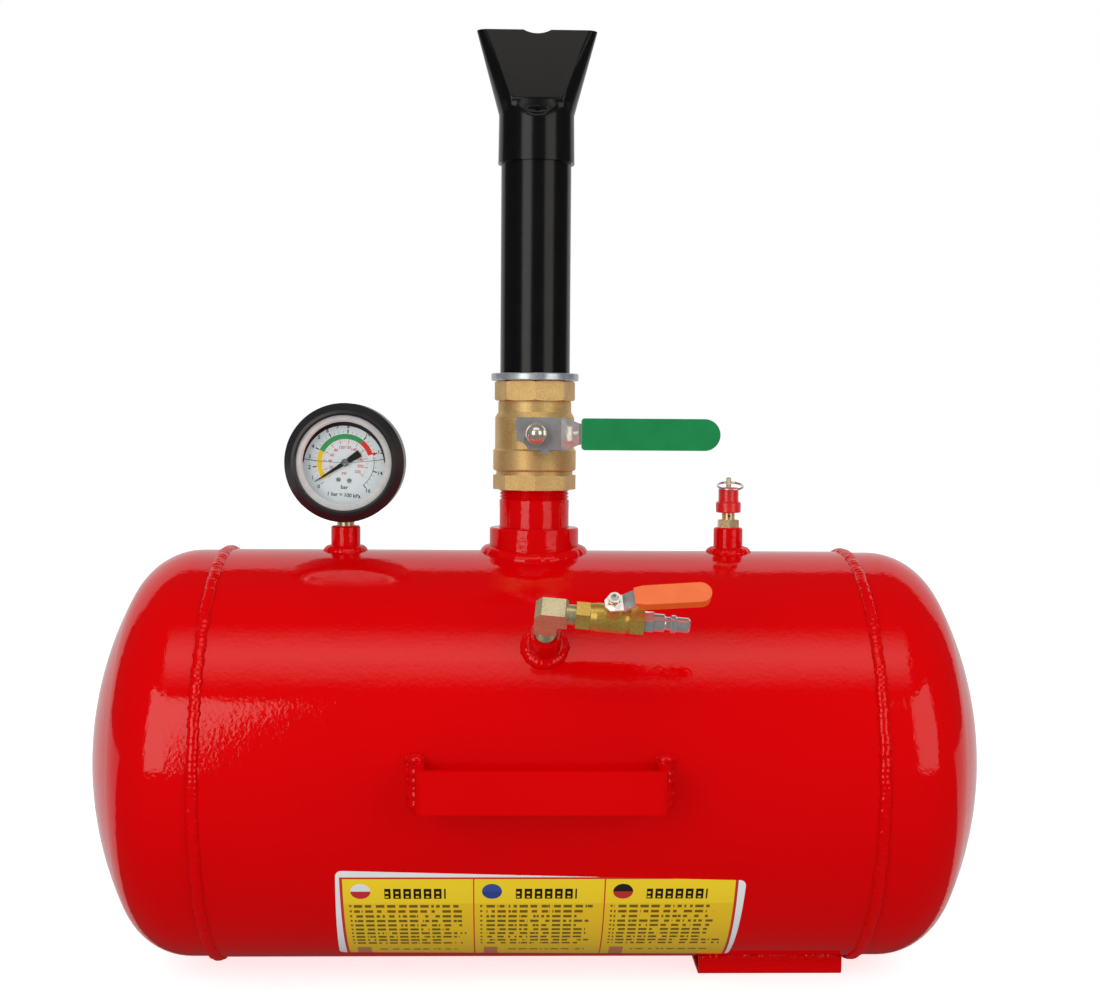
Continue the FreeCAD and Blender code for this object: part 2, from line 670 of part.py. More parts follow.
lever_nut = new_body("lever_nut", stem_place)
nut_flats = size("nut_flats", 16)
pad(lever_nut, "XY", [ngon(6, nut_flats)], 5.4, lift=plate_top)
turn(lever_nut, [[(0, plate_top + 5), (7, plate_top + 5), (7, plate_top + 7.5, 7), (0, plate_top + 14.5)]])
turn(lever_nut, [[(0, plate_top - 1), (thread_r, plate_top - 1), (thread_r, 52), (0, 53.5)]], "Groove")

turned("lock_ring", stack_place, [(pipe_r, upper_high + 0.3), (ring_r - 0.6, upper_high + 0.3),
                                  (ring_r, upper_high + 0.9), (ring_r, upper_high + ring_high - 0.3),
                                  (ring_r - 0.6, upper_high + ring_high + 0.3),
                                  (pipe_r, upper_high + ring_high + 0.3)])
barrel_top = nozzle_up + 28
turned("barrel_tube", stack_place, [(pipe_bore_r, socket_low), (pipe_r, socket_low),
                                    (pipe_r, barrel_top), (pipe_bore_r, barrel_top)])


def flat_section(half, deep):
    """A wide slot shape in six edges, so that it matches the round section edge for edge."""
    x, y, c = half, deep, deep
    return [(c - x, -y), (x - c, -y, c), (x, 0, c), (x - c, y), (c - x, y, c), (-x, 0, c)]


def round_section(radius):
    reach = radius * 0.70710678
    return [(-reach, -reach, radius), (reach, -reach, radius), (radius, 0, radius),
            (reach, reach, radius), (-reach, reach, radius), (-radius, 0, radius)]


def crease_section(low_r, half):
    """Just above the pipe, where the crushed faces begin: flat front and back, tight sides."""
    x, y = low_r + (half - low_r) * 0.14, low_r * 0.8
    flat = x * 0.62
    chord = x - flat
    bow = (chord * chord + y * y) / (chord * 2)
    return [(-flat, -y), (flat, -y, bow), (x, 0, bow), (flat, y), (-flat, y, bow), (-x, 0, bow)]


def blend(body, kind, low_r, half, deep, low, high):
    """A loft from a round pipe section to a flat, wide one."""
    first = draw(body, "XY", [round_section(low_r)], low)
    middle = draw(body, "XY", [crease_section(low_r, half)], low + (high - low) * 0.14)
    last = draw(body, "XY", [flat_section(half, deep)], high)
    item = body.newObject(f"PartDesign::{kind}", f"{body.Name}_{kind.lower()}")
    item.Profile = first
    item.Sections = [middle, last]
    item.Ruled = True
    body.Tip = item
    return item


nozzle = new_body("flare_nozzle", stack_place)
turn(nozzle, [[(pipe_r + run_gap, nozzle_up), (collar_r, nozzle_up), (collar_r - 0.45, flare_up),
               (pipe_r + run_gap, flare_up)]])
blend(nozzle, "AdditiveLoft", collar_r - 0.45, flare_half, flare_deep, flare_up, flare_top)
blend(nozzle, "SubtractiveLoft", pipe_r + run_gap, flare_half - nozzle_wall, flare_deep - nozzle_wall,
      flare_up, flare_top)
notch_r = size("notch_r", 18.7)
cut(nozzle, "XZ", [disc(0, flare_top + notch_r - 2.6, notch_r)])

# Gauge: its own Z axis points at the reader and its Y axis points up
gauge_stand = chain(tank_place, frame(-boss_x, 0, 0))
socket_top = tank_r + gauge_up - 24
socket_clear = size("socket_clear", 1.5)
socket_step = tank_r + gauge_up - dial_r - socket_clear
boss_top = tank_r + boss_rise
turned("gauge_socket", gauge_stand,
       [(0, boss_top - 11), (quarter_thread_r, boss_top - 11), (quarter_thread_r, boss_top), (6, boss_top),
        (6, socket_step), (2.8, socket_step), (2.8, socket_top), (0, socket_top)])
case = turned("gauge_case", gauge_place,
              [(0, -15), (case_r - 3, -15), (case_r, -12), (case_r, 13), (case_r - 0.8, 13),
               (case_r - 0.8, -11.6), (case_r - 3.4, -14.2), (0, -14.2)])
cut(case, "XZ", [disc(0, 0, 6)], 40)
turned("gauge_bezel", gauge_place, [(case_r, 8), (bezel_r, 8), (bezel_r, 14.5), (bezel_r - 1.4, 16),
                                    (view_r + 1, 16), (view_r, 15), (view_r, 14), (case_r - 0.8, 14),
                                    (case_r - 0.8, 13), (case_r, 13)])
turned("gauge_window", gauge_place, [(0, 12.2), (case_r - 0.8, 12.2), (case_r - 0.8, 14), (0, 14)])
dial = new_body("gauge_dial", gauge_place)
pad(dial, "XY", [disc(0, 0, dial_r), disc(0, 0, arbor_r + run_gap)], 0.8, lift=3)
screws = new_body("dial_screws", chain(gauge_place, frame(0, 0, 0, "0; 0; 1", -5)))
screws.AllowCompound = True
pad(screws, "XY", [disc(-3.75, -12.2, 1.5), disc(3.75, -12.2, 1.5)], 0.9, lift=3.8)
cut(screws, "XY", [rect(-6, -12.4, 6, -12)], 1, lift=4.3)

movement = new_body("gauge_movement", gauge_place)
pad(movement, "XY", [slot_shape(13, 9, 2), disc(0, 0, arbor_r + run_gap)], 1.5, lift=-2)
pad(movement, "XY", [slot_shape(13, 9, 2), disc(0, 0, arbor_r + run_gap)], 1.5, lift=-9)
for x in (-10, 10):
    pad(movement, "XY", [disc(x, 0, 2)], 12, lift=-9)
pad(movement, "XY", [disc(0, -7, 1.5)], 6, lift=-8)

tube = new_body("bourdon_tube", chain(gauge_place, frame(0, 0, 0, "0; 0; 1", -90)))
turn(tube, [[(20.6, -9), (22, -10, 3), (23.5, -6), (22, -2, 3), (20.6, -3)]], angle=250)

pointer_place = chain(gauge_place, frame(0, 0, 0, "0; 0; 1", pointer_turn))
needle = new_body("gauge_pointer", pointer_place)
blade = view_r * 0.875
pad(needle, "XY", [[(-12, -2.6), (-3, -1.9), (-2.4, -1.7), (blade, -0.25), (blade, 0.25),
                    (-2.4, 1.7), (-3, 1.9), (-12, 2.6)], disc(0, 0, arbor_r)], 0.7, lift=5.4)
turned("pointer_arbor", pointer_place, [(0, -8.8), (arbor_r, -8.8), (arbor_r, 6.1), (2.6, 6.1),
                                        (2.6, 6.7), (1.8, 7.4), (0, 7.4)])

boot = turned("gauge_boot", gauge_place,
              [(boot_lip_r, 17), (bezel_r, 16.2), (bezel_r, 8), (case_r, 8), (case_r, -15.2),
               (case_r - 8, -15.2), (case_r - 8, -18), (boot_r - 5, -18, 5), (boot_r, -13),
               (boot_r, 13), (boot_r - 5, 18), (boot_r - 7, 18.5), (boot_lip_r, 18)])
cut(boot, "XZ", [disc(0, 0, 6.6)], 60)

# Relief valve: a spring holds the seal down; pulling the ring lifts the rod
relief = new_body("relief_body", relief_place)
turn(relief, [[(2.6, -11), (quarter_thread_r, -11), (quarter_thread_r, 0), (6, 0), (6, relief_hex),
               (relief_neck_r, relief_hex), (relief_neck_r, 22), (chamber_r, 22), (chamber_r, 3.6),
               (2.6, 3.6)]])
pad(relief, "XY", [ngon(6, relief_flats), disc(0, 0, 5)], relief_hex)
cut(relief, "XZ", [disc(0, 8, 1)])
turned("relief_seal", relief_place, [(0, 3.6), (3.4, 3.6), (3.4, 4.6), (0, 4.6)])
cap_lid = cap_top - 3
turned("relief_cap", relief_place,
       [(relief_neck_r, cap_low), (cap_low_r - 0.5, cap_low), (cap_low_r, cap_low + 0.5),
        (cap_low_r, cap_step - 1), (cap_low_r - 1, cap_step), (cap_top_r, cap_step),
        (cap_top_r, cap_top - 0.8), (cap_top_r - 0.8, cap_top), (rod_r + run_gap, cap_top),
        (rod_r + run_gap, cap_lid), (chamber_r, cap_lid), (chamber_r, 22), (relief_neck_r, 22)])
rod = new_body("relief_rod", relief_place)
turn(rod, [[(0, 4.6), (3.52, 4.6), (3.52, 6), (rod_r, 6), (rod_r, rod_top - 0.6),
            (rod_r - 0.6, rod_top), (0, rod_top)]])
cut(rod, "YZ", [disc(0, pull_up, wire_r + run_gap)])

spring_start = size("spring_start", 6.35)
spring_end = size("spring_end", 24.55)
spring = new_body("relief_spring", relief_place)
coil = spring.newObject("PartDesign::AdditiveHelix", "relief_spring_coil")
wire = draw(spring, "XZ", [disc(2.65, spring_start, 0.35)])
coil.Profile = wire
coil.ReferenceAxis = (wire, ["V_Axis"])
coil.Mode = "height-turns-angle"
coil.setExpression("Height", text_of(spring_end - spring_start))
coil.Turns = 9
spring.Tip = coil

pull_place = chain(relief_place, frame(0, 0, pull_up, "1; 0; 0", pull_tilt))
pull = new_body("pull_ring", pull_place)
pin_half = size("pin_half", 2.2)
drop_y = (pull_ring_r * pull_ring_r - pin_half * pin_half).root()
pin = draw(pull, "YZ", [disc(0, 0, wire_r)])
pin_pad = feature(pull, "Pad", pin)
pin_pad.setExpression("Length", text_of(pin_half * 2 + 0.3))
pin_pad.Midplane = True
hoop = pull.newObject("PartDesign::AdditivePipe", "pull_ring_hoop")
hoop_section = draw(pull, "YZ", [disc(0, 0, wire_r)], pin_half)
hoop_path = pull.newObject("Sketcher::SketchObject", "pull_ring_path")
flat_plane = [item for item in pull.Origin.OriginFeatures if item.Role == "XY_Plane"][0]
hoop_path.AttachmentSupport = [(flat_plane, "")]
hoop_path.MapMode = "FlatFace"
sweep_start = math.atan2(number(drop_y), number(pin_half))
hoop_middle = FreeCAD.Vector(0, -number(drop_y), 0)
hoop_circle = Part.Circle(hoop_middle, FreeCAD.Vector(0, 0, 1), number(pull_ring_r))
hoop_arc = hoop_path.addGeometry(
    Part.ArcOfCircle(hoop_circle, math.pi - sweep_start, sweep_start + 2 * math.pi))
fix(hoop_path, hoop_arc, 3, 0, -drop_y)
fix(hoop_path, hoop_arc, 1, -pin_half, 0)
bind(hoop_path, Sketcher.Constraint("DistanceX", -1, 1, hoop_arc, 2, number(pin_half)), pin_half)
hoop.Profile = hoop_section
hoop.Spine = hoop_path
pull.Tip = hoop

# Inlet: elbow, small ball valve with its own lever, and a quick-connect plug
elbow = new_body("inlet_elbow", inlet_place)
half = elbow_half
outline = [(-half, elbow_out - 16), (half, elbow_out - 16), (half, elbow_out - half),
           (13, elbow_out - half), (13, elbow_out + half - 1.5), (11.5, elbow_out + half),
           (4 - half, elbow_out + half), (-half, elbow_out + half - 5)]
pad(elbow, "XZ", [outline], half * 2 - 1, both=True)
thread_low = tank_r + boss_rise - 9
root_low = elbow_out - 16
turn(elbow, [[(0, thread_low), (quarter_thread_r, thread_low)]
             + threads(quarter_thread_r, tank_r + boss_rise + 0.3, 4, 1.9)
             + [(quarter_thread_r, root_low + 0.5), (0, root_low + 0.5)]])
thread_pad = draw(elbow, "YZ", [disc(0, elbow_out, 6.3)], 12)
thread_out = feature(elbow, "Pad", thread_pad)
thread_out.setExpression("Length", text_of(inlet_start + 4 - 12))
cut(elbow, "YZ", [disc(0, elbow_out, inlet_port_r)], inlet_start + 10)
cut(elbow, "XY", [disc(0, 0, inlet_port_r)], elbow_out)

mini = new_body("inlet_valve_body", branch_place)
hub = inlet_flats * 0.5
hub_gap = 8
ball_spot = inlet_stem_x
turn(mini, [[(6.3, inlet_start), (hub, inlet_start), (hub, inlet_start + 9), (hub + 0.6, ball_spot - 9.5),
             (hub + 0.6, ball_spot + 8), (hub - 0.4, inlet_end - 9), (hub - 0.4, inlet_end),
             (4.9, inlet_end), (4.9, ball_spot + 9.5), (inlet_port_r + 0.2, ball_spot + 9.5),
             (inlet_port_r + 0.2, ball_spot + 6.5), (inlet_ball_r + 0.4, ball_spot + 6.5),
             (inlet_ball_r + 0.4, ball_spot - 6.5), (inlet_port_r + 0.2, ball_spot - 6.5),
             (inlet_port_r + 0.2, inlet_start + 4), (6.3, inlet_start + 4)]])
for low, high in ((inlet_start, inlet_start + 8.5), (inlet_end - 8.5, inlet_end)):
    pad(mini, "XY", [ngon(6, inlet_flats), disc(0, 0, hub - 0.8)], high - low, lift=low)
neck_disc = disc(0, ball_spot, inlet_stem_r + 2.8)
mini_neck = draw(mini, "YZ", [neck_disc], -hub + 1)
neck_out = feature(mini, "Pad", mini_neck)
neck_out.setExpression("Length", text_of(inlet_plate_up - 1.5 - hub + 1))
neck_out.Reversed = True
inlet_neck_top = inlet_plate_up - 1.5
stem_hole = draw(mini, "YZ", [disc(0, ball_spot, inlet_stem_r + run_gap)])
stem_bore = feature(mini, "Pocket", stem_hole)
stem_bore.setExpression("Length", text_of(inlet_plate_up + 4))
cuts.append(stem_bore)

inlet_seats = new_body("inlet_seats", chain(branch_place, frame(0, 0, inlet_stem_x)))
seat_rings(inlet_seats, inlet_port_r + 0.2, inlet_ball_r + run_gap, size("inlet_seat_low", 3.5),
           size("inlet_seat_high", 6.5), inlet_ball_r + 0.4)

small_ball = new_body("inlet_ball", inlet_stem_place)
turn(small_ball, [[(0, -inlet_ball_r, inlet_ball_r), (inlet_ball_r, 0, inlet_ball_r), (0, inlet_ball_r)]])
cut(small_ball, "YZ", [disc(0, 0, inlet_port_r)])
cut(small_ball, "XY", [rect(-3.2, -1.1, 3.2, 1.1)], 5, lift=inlet_ball_r - 1.8)
small_stem = new_body("inlet_stem", inlet_stem_place)
turn(small_stem, [[(0, inlet_ball_r + 0.1), (inlet_stem_r, inlet_ball_r + 0.1),
                   (inlet_stem_r, inlet_plate_up), (2.4, inlet_plate_up), (2.4, 22.5), (0, 22.5)]])
pad(small_stem, "XY", [rect(-2.6, -1.05, 2.6, 1.05)], 2, lift=inlet_ball_r - 1.7)

handle_plate = new_body("inlet_lever", inlet_lever_place)
plate_end = inlet_lever_end - 4
up, thick, lift_out = inlet_plate_up, 1.8, 5
side_strip = [(-5.5, up), (6, up), (13, up + lift_out), (plate_end, up + lift_out),
              (plate_end, up + lift_out + thick), (12.4, up + lift_out + thick),
              (5.4, up + thick), (-5.5, up + thick)]
pad(handle_plate, "XZ", [side_strip], 11, both=True)
cut(handle_plate, "XY", [disc(0, 0, 2.45)])
corner = [(-6, 5.6), (-6, 2), (-2.5, 5.6)]
cut(handle_plate, "XY", [corner])
cut(handle_plate, "XY", [[(x, -y) for x, y in corner]])

inlet_grip = new_body("inlet_grip", inlet_lever_place)
low, high = up + lift_out - 2.2, up + lift_out + thick + 2.2
tail = 7
sleeve = [(12, -5.6), (18, -6.8), (inlet_lever_end - tail, -tail, tail), (inlet_lever_end, 0, tail),
          (inlet_lever_end - tail, tail), (18, 6.8), (12, 5.6)]
pad(inlet_grip, "XY", [sleeve], high - low, lift=low)
cut(inlet_grip, "XY", [rect(11, -5.5, plate_end, 5.5)], thick, lift=up + lift_out)
clear_step = [(11, up - 3), (14, up - 3), (14, up + lift_out + thick), (11, up + lift_out + thick)]
cut(inlet_grip, "XZ", [clear_step])

inlet_nut = new_body("inlet_nut", inlet_lever_place)
pad(inlet_nut, "XY", [ngon(6, size("inlet_nut_flats", 8)), disc(0, 0, 2.4)], 4.4, lift=up + thick)
pad(inlet_nut, "XY", [disc(0, 0, 3.7), disc(0, 0, 2.4)], 2.4, lift=up + thick + 4)

plug = new_body("air_plug", branch_place)
plug_flats = size("plug_flats", 12.4)
tip_r = size("plug_tip_r", 4.65)
tip_end = size("plug_end", 88)
collar_low, collar_high = inlet_end + 16.5, inlet_end + 19
turn(plug, [[(2.6, inlet_end - 9), (4.9, inlet_end - 9), (4.9, inlet_end), (5.6, inlet_end),
             (5.6, inlet_end + 12), (4.2, inlet_end + 13.2), (4.2, collar_low - 0.6),
             (5.5, collar_low), (5.5, collar_high), (tip_r, collar_high + 0.8),
             (tip_r, tip_end - 1), (tip_r - 1, tip_end), (2.6, tip_end)]])
pad(plug, "XY", [ngon(6, plug_flats), disc(0, 0, 5)], 5.6, lift=inlet_end)

doc.recompute()
os.makedirs("parts", exist_ok=True)
for item in doc.Objects:
    if "Invalid" in item.State or "Error" in item.State:
        raise RuntimeError(f"{item.Name} did not build")
for item in cuts:
    if item.BaseFeature.Shape.Volume - item.Shape.Volume < 0.01:
        raise RuntimeError(f"{item.Name} cuts nothing")
for body in bodies:
    if body.Shape.isNull() or not body.Shape.isValid():
        raise RuntimeError(f"{body.Name} has no valid shape")
    body.Shape.exportStep(f"parts/{body.Name}.step")
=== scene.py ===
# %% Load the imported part
import json
import math
import random
import bmesh
import bpy
from mathutils import Matrix, Vector


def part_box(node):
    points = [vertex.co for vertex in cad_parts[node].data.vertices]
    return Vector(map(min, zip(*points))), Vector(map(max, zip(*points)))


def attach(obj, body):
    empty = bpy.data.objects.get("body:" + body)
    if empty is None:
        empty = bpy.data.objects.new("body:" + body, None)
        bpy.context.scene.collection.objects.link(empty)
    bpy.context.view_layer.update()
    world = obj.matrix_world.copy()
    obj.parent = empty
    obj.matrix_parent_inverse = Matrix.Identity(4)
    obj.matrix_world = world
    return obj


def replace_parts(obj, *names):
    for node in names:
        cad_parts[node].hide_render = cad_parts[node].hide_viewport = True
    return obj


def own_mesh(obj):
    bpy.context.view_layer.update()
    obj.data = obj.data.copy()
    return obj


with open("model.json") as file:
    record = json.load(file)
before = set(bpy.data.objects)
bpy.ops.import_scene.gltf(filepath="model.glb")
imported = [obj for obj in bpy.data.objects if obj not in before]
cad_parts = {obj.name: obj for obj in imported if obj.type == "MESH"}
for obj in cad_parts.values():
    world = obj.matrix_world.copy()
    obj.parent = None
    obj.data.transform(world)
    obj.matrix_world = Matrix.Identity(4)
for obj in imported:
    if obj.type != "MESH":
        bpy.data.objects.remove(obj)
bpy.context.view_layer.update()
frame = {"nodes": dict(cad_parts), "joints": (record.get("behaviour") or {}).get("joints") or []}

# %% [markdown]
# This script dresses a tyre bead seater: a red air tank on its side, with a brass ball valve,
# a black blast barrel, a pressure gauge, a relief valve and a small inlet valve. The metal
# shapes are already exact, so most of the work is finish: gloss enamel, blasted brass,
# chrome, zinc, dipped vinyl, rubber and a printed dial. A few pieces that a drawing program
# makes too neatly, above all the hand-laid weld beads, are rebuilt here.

nodes = frame["nodes"]
shell_low, shell_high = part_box("tank_shell")
tank_mid = (shell_low + shell_high) / 2
tank_r = (shell_high.z - shell_low.z) / 2
print("tank radius", round(tank_r, 4), "centre", tuple(round(c, 4) for c in tank_mid))

# %% [markdown]
# Every finish is built from shader nodes, so it has no edge and no fixed resolution. Wiring
# nodes by hand is slow to read. The class below lets the script write shader maths as sums:
# each operator on a value adds the matching Math node.

# %% A value that writes its own Math nodes
class Value:
    """One output of a shader node, with ordinary arithmetic."""

    def __init__(self, wiring, socket):
        self.wiring, self.socket = wiring, socket

    def math(self, operation, *others):
        return self.wiring.add("Math", {"operation": operation}, self, *others)

    def __add__(self, other):
        return self.math("ADD", other)

    def __sub__(self, other):
        return self.math("SUBTRACT", other)

    def __rsub__(self, other):
        return self.wiring.add("Math", {"operation": "SUBTRACT"}, other, self)

    def __mul__(self, other):
        return self.math("MULTIPLY", other)

    def __truediv__(self, other):
        return self.math("DIVIDE", other)

    def __gt__(self, other):
        return self.math("GREATER_THAN", other)

    def __lt__(self, other):
        return self.math("LESS_THAN", other)

    __radd__, __rmul__ = __add__, __mul__

    def wrap(self, length):
        """The remainder after whole lengths, never negative."""
        return self.math("FLOORED_MODULO", length)

    def between(self, low, high):
        return (self > low) * (self < high)

    def size(self):
        return self.math("ABSOLUTE")

    def capped(self):
        return self.math("MINIMUM", 1.0)


# %% [markdown]
# Surfaces, lamps and the air all have node trees, so one class wires any of them. Its add
# method makes every node: it takes the node's type, its settings, and what its sockets get,
# in order, by number or by name.

# %% One method that adds any node
class Wiring:
    """A node tree being wired."""

    def __init__(self, tree):
        self.tree = tree

    def add(self, kind, settings=None, *inputs, out=0, at=None, **named):
        node = self.tree.nodes.new("ShaderNode" + kind)
        for key, value in (settings or {}).items():
            if key == "stops":
                self.fill_ramp(node.color_ramp, value)
            else:
                setattr(node, key, value)
        spots = dict(enumerate(inputs)) | (at or {})
        spots |= {socket.replace("_", " "): value for socket, value in named.items()}
        for spot, value in spots.items():
            self.feed(node.inputs[spot], value)
        return Value(self, node.outputs[out])

    def feed(self, socket, value):
        if isinstance(value, Value):
            self.tree.links.new(value.socket, socket)
        elif value is not None:
            socket.default_value = value

    def fill_ramp(self, ramp, stops):
        while len(ramp.elements) < len(stops):
            ramp.elements.new(0.5)
        for element, (place, colour) in zip(ramp.elements, stops):
            element.position, element.color = place, colour

    def ramp(self, value, *stops, curve="LINEAR"):
        made = self.add("ValToRGB", {"stops": stops}, value)
        made.socket.node.color_ramp.interpolation = curve
        return made

    def parts_of(self, vector):
        apart = self.add("SeparateXYZ", {}, vector)
        return [Value(self, socket) for socket in apart.socket.node.outputs]

    def noise(self, vector, scale, detail=3, roughness=0.5):
        return self.add("TexNoise", {}, Vector=vector, Scale=scale, Detail=detail, Roughness=roughness)

    def mix(self, share, low, high):
        """A colour that goes from low to high with share."""
        return self.add("Mix", {"data_type": "RGBA"}, at={0: share, 6: low, 7: high}, out=2)


# %% [markdown]
# A finish starts as a Principled shader whose fixed numbers are set on its own sockets. Only
# what changes over the surface is linked: colour, roughness and small bumps.

# %% A finish
class Finish(Wiring):
    """A material under construction."""

    def __init__(self, name, **fixed):
        self.material = bpy.data.materials.new(name)
        self.material.use_nodes = True
        super().__init__(self.material.node_tree)
        self.shader = self.tree.nodes["Principled BSDF"]
        self.finish(**fixed)

    def place(self, middle=(0, 0, 0)):
        """Object coordinates, measured from a middle point."""
        here = self.add("TexCoord", out="Object")
        return self.add("VectorMath", {"operation": "SUBTRACT"}, here, middle)

    def bump(self, height, distance, strength=1.0, over=None):
        return self.add("Bump", {}, Height=height, Distance=distance, Strength=strength, Normal=over)

    def finish(self, **sockets):
        for socket, value in sockets.items():
            self.feed(self.shader.inputs[socket.replace("_", " ")], value)
        return self.material


def rgb(code):
    """A screen colour such as 'd60005' as the linear colour that shaders use."""
    parts = [int(code[i:i + 2], 16) / 255 for i in (0, 2, 4)]
    return tuple(((c + 0.055) / 1.055) ** 2.4 if c > 0.04045 else c / 12.92 for c in parts) + (1.0,)


def dress(material, *names):
    for name in names:
        nodes[name].data.materials.clear()
        nodes[name].data.materials.append(material)
    print(material.name, "on", len(names), "pieces")


# %% [markdown]
# ## Red enamel
# The tank is sprayed with gloss enamel over steel. Up close such paint isn't flat: it dries
# with a fine "orange peel" of shallow waves two or three millimetres across, and its gloss
# comes from a clear skin over the pigment. A low roughness gives the skin, two scales of very
# shallow noise give the waves, and a slow drift of tone keeps a large surface from looking dead.

# %% Red enamel
red = Finish("red enamel", Roughness=0.06, IOR=1.4)
spot = red.place()
drift = red.noise(spot, 9.0, 2)
red_colour = red.mix(drift, rgb("d20003"), rgb("dc0004"))
waves = red.bump(red.noise(spot, 60.0, 1), 0.00022, 0.6)
peel = red.bump(red.noise(spot, 380.0, 2, 0.5), 0.00010, 1.0, waves)
enamel = red.finish(Base_Color=red_colour, Normal=peel)
dress(enamel, "tank_shell", "left_head", "right_head", "left_seam_weld", "right_seam_weld",
      "long_seam_weld", "barrel_coupling", "coupling_weld", "gauge_boss", "gauge_boss_weld",
      "relief_boss", "relief_boss_weld", "inlet_boss", "inlet_boss_weld", "carry_handle",
      "handle_welds", "foot_bracket", "foot_welds", "tank_nipple")

# %% [markdown]
# ## Metals
# The big valve is cast brass, shot-blasted, so it is grainy and only half shiny. Grain is
# fine noise used three times: in colour, in roughness and as bump. The other metals are the
# same recipe with other numbers, so one function makes them all from a table.

# %% One recipe for cast, plated and drawn metal
def metal(name, deep, pale, grain_scale, rough, rough_range, depth, cloud_scale, share):
    """A metal whose grain shows in its colour, its roughness and a shallow bump."""
    skin = Finish(name, Metallic=share)
    spot = skin.place()
    grain = skin.noise(spot, grain_scale, 3, 0.7)
    cloud = skin.noise(spot, cloud_scale, 3)
    tone = skin.ramp(grain * 0.75 + cloud * 0.25, (0.34, rgb(deep)), (0.62, rgb(pale)))
    return skin.finish(Base_Color=tone, Roughness=grain * rough_range + rough,
                       Normal=skin.bump(grain, depth, 0.7))


# %% The table of metals
# Each row: name, deep and pale tone, grain scale, roughness and its range, bump depth,
# cloud scale, share of metal, and the pieces that have it.
metals = [
    ("blasted brass", "c8974f", "f4d494", 1500, 0.32, 0.20, 0.00012, 60, 0.62,
     ("valve_end_cap", "valve_body", "gland_nut")),
    ("yellow brass", "c4983e", "eecb6c", 1200, 0.24, 0.20, 0.00006, 60, 0.66, ("inlet_valve_body",)),
    ("turned brass", "cba868", "fbecc4", 900, 0.16, 0.16, 0.00004, 60, 0.62,
     ("gauge_movement", "bourdon_tube", "gauge_socket", "relief_body", "relief_rod")),
    ("dull nickel", "b4a47c", "e2d4ac", 1300, 0.22, 0.16, 0.00005, 60, 0.66, ("inlet_elbow",)),
    ("chrome plate", "dcdee2", "f6f7f9", 160, 0.05, 0.08, 0.00004, 25, 0.90,
     ("valve_ball", "inlet_ball", "pull_ring")),
    ("bright chrome", "ececee", "fdfdfd", 120, 0.10, 0.08, 0.00004, 25, 0.42, ("gauge_bezel",)),
    ("turned chrome", "e6e6ea", "fbfbfd", 120, 0.05, 0.06, 0.00003, 25, 0.78, ("air_plug",)),
    ("pressed chrome", "d8d8da", "fafafa", 45, 0.07, 0.07, 0.00080, 25, 0.72,
     ("lever_arm", "inlet_lever")),
    ("nickel plate", "c8c2b4", "f2ece0", 160, 0.10, 0.10, 0.00004, 25, 0.75,
     ("lever_nut", "inlet_nut")),
    ("plain steel", "a4a6a9", "c6c8ca", 1200, 0.20, 0.16, 0.00003, 60, 0.80,
     ("valve_stem", "gauge_case", "inlet_stem", "relief_spring", "pointer_arbor", "dial_screws")),
    ("blue zinc plate", "a3b0bd", "dfe8ee", 90, 0.22, 0.20, 0.00004, 40, 0.70, ("lock_ring",)),
]
for *recipe, pieces in metals:
    dress(metal(*recipe), *pieces)

# %% [markdown]
# ## Vinyl, plastic, rubber and black paint
# The grips are dipped in liquid vinyl, which sets smooth and a little soft. The relief cap is
# moulded, the gauge wears a rubber boot with a faint bloom, and the barrel is painted black.
# All have the same skin: a tone that drifts, a fine tooth, and a highlight of its own width.

# %% Soft skins
def skin_finish(name, deep, pale, rough, coat, tooth_scale, tooth, **fixed):
    """Vinyl, plastic, rubber, seal or paint: drifting tone, fine tooth, soft highlight."""
    skin = Finish(name, Coat_Weight=coat, Coat_Roughness=0.14, **fixed)
    spot = skin.place()
    drift = skin.noise(spot, 70.0, 3)
    fine = skin.noise(spot, tooth_scale, 2)
    return skin.finish(Base_Color=skin.mix(drift, rgb(deep), rgb(pale)), Roughness=fine * 0.1 + rough,
                       Normal=skin.bump(fine, tooth, 0.6))


# %% The table of skins
# Each row: name, deep and pale tone, roughness, coat, tooth scale and depth, and its pieces.
skins = [
    ("green vinyl", "007a40", "009650", 0.30, 0.35, 500, 0.00003, ("lever_grip",)),
    ("orange vinyl", "e85a14", "f67222", 0.30, 0.40, 500, 0.00003, ("inlet_grip",)),
    ("red cap plastic", "d8060a", "ea1014", 0.26, 0.50, 600, 0.00002, ("relief_cap",)),
    ("black rubber", "1a181b", "2a282d", 0.36, 0.15, 900, 0.00004, ("gauge_boot", "relief_seal")),
    ("white seal plastic", "dcdcd4", "f2f2ee", 0.40, 0.00, 400, 0.00002,
     ("valve_seats", "stem_packing", "inlet_seats")),
    ("pointer black", "08080a", "121214", 0.35, 0.30, 600, 0.00001, ("gauge_pointer",)),
]
for *recipe, pieces in skins:
    dress(skin_finish(*recipe), *pieces)
satin = skin_finish("black paint", "0a0a0b", "121213", 0.14, 0.0, 420, 0.00003, IOR=1.36)
dress(satin, "barrel_tube", "flare_nozzle")

# %% [markdown]
# ## Printed dial
# The dial is a pale disc with a coloured band from 0 to 12, ticks outside it for one scale and
# red ticks inside it for another. All of that is a function of two numbers, the distance from
# the middle and the reading at that angle, so it is drawn with masks and stays sharp.

# %% Where the dial is
dial_low, dial_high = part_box("gauge_dial")
dial_mid = Vector(((dial_low.x + dial_high.x) / 2, dial_low.y, (dial_low.z + dial_high.z) / 2))
view_r = 0.0282
zero_angle, bar_step = 222.3, 17.12
psi_per_bar = 14.5038
print("dial middle", tuple(round(c, 4) for c in dial_mid))

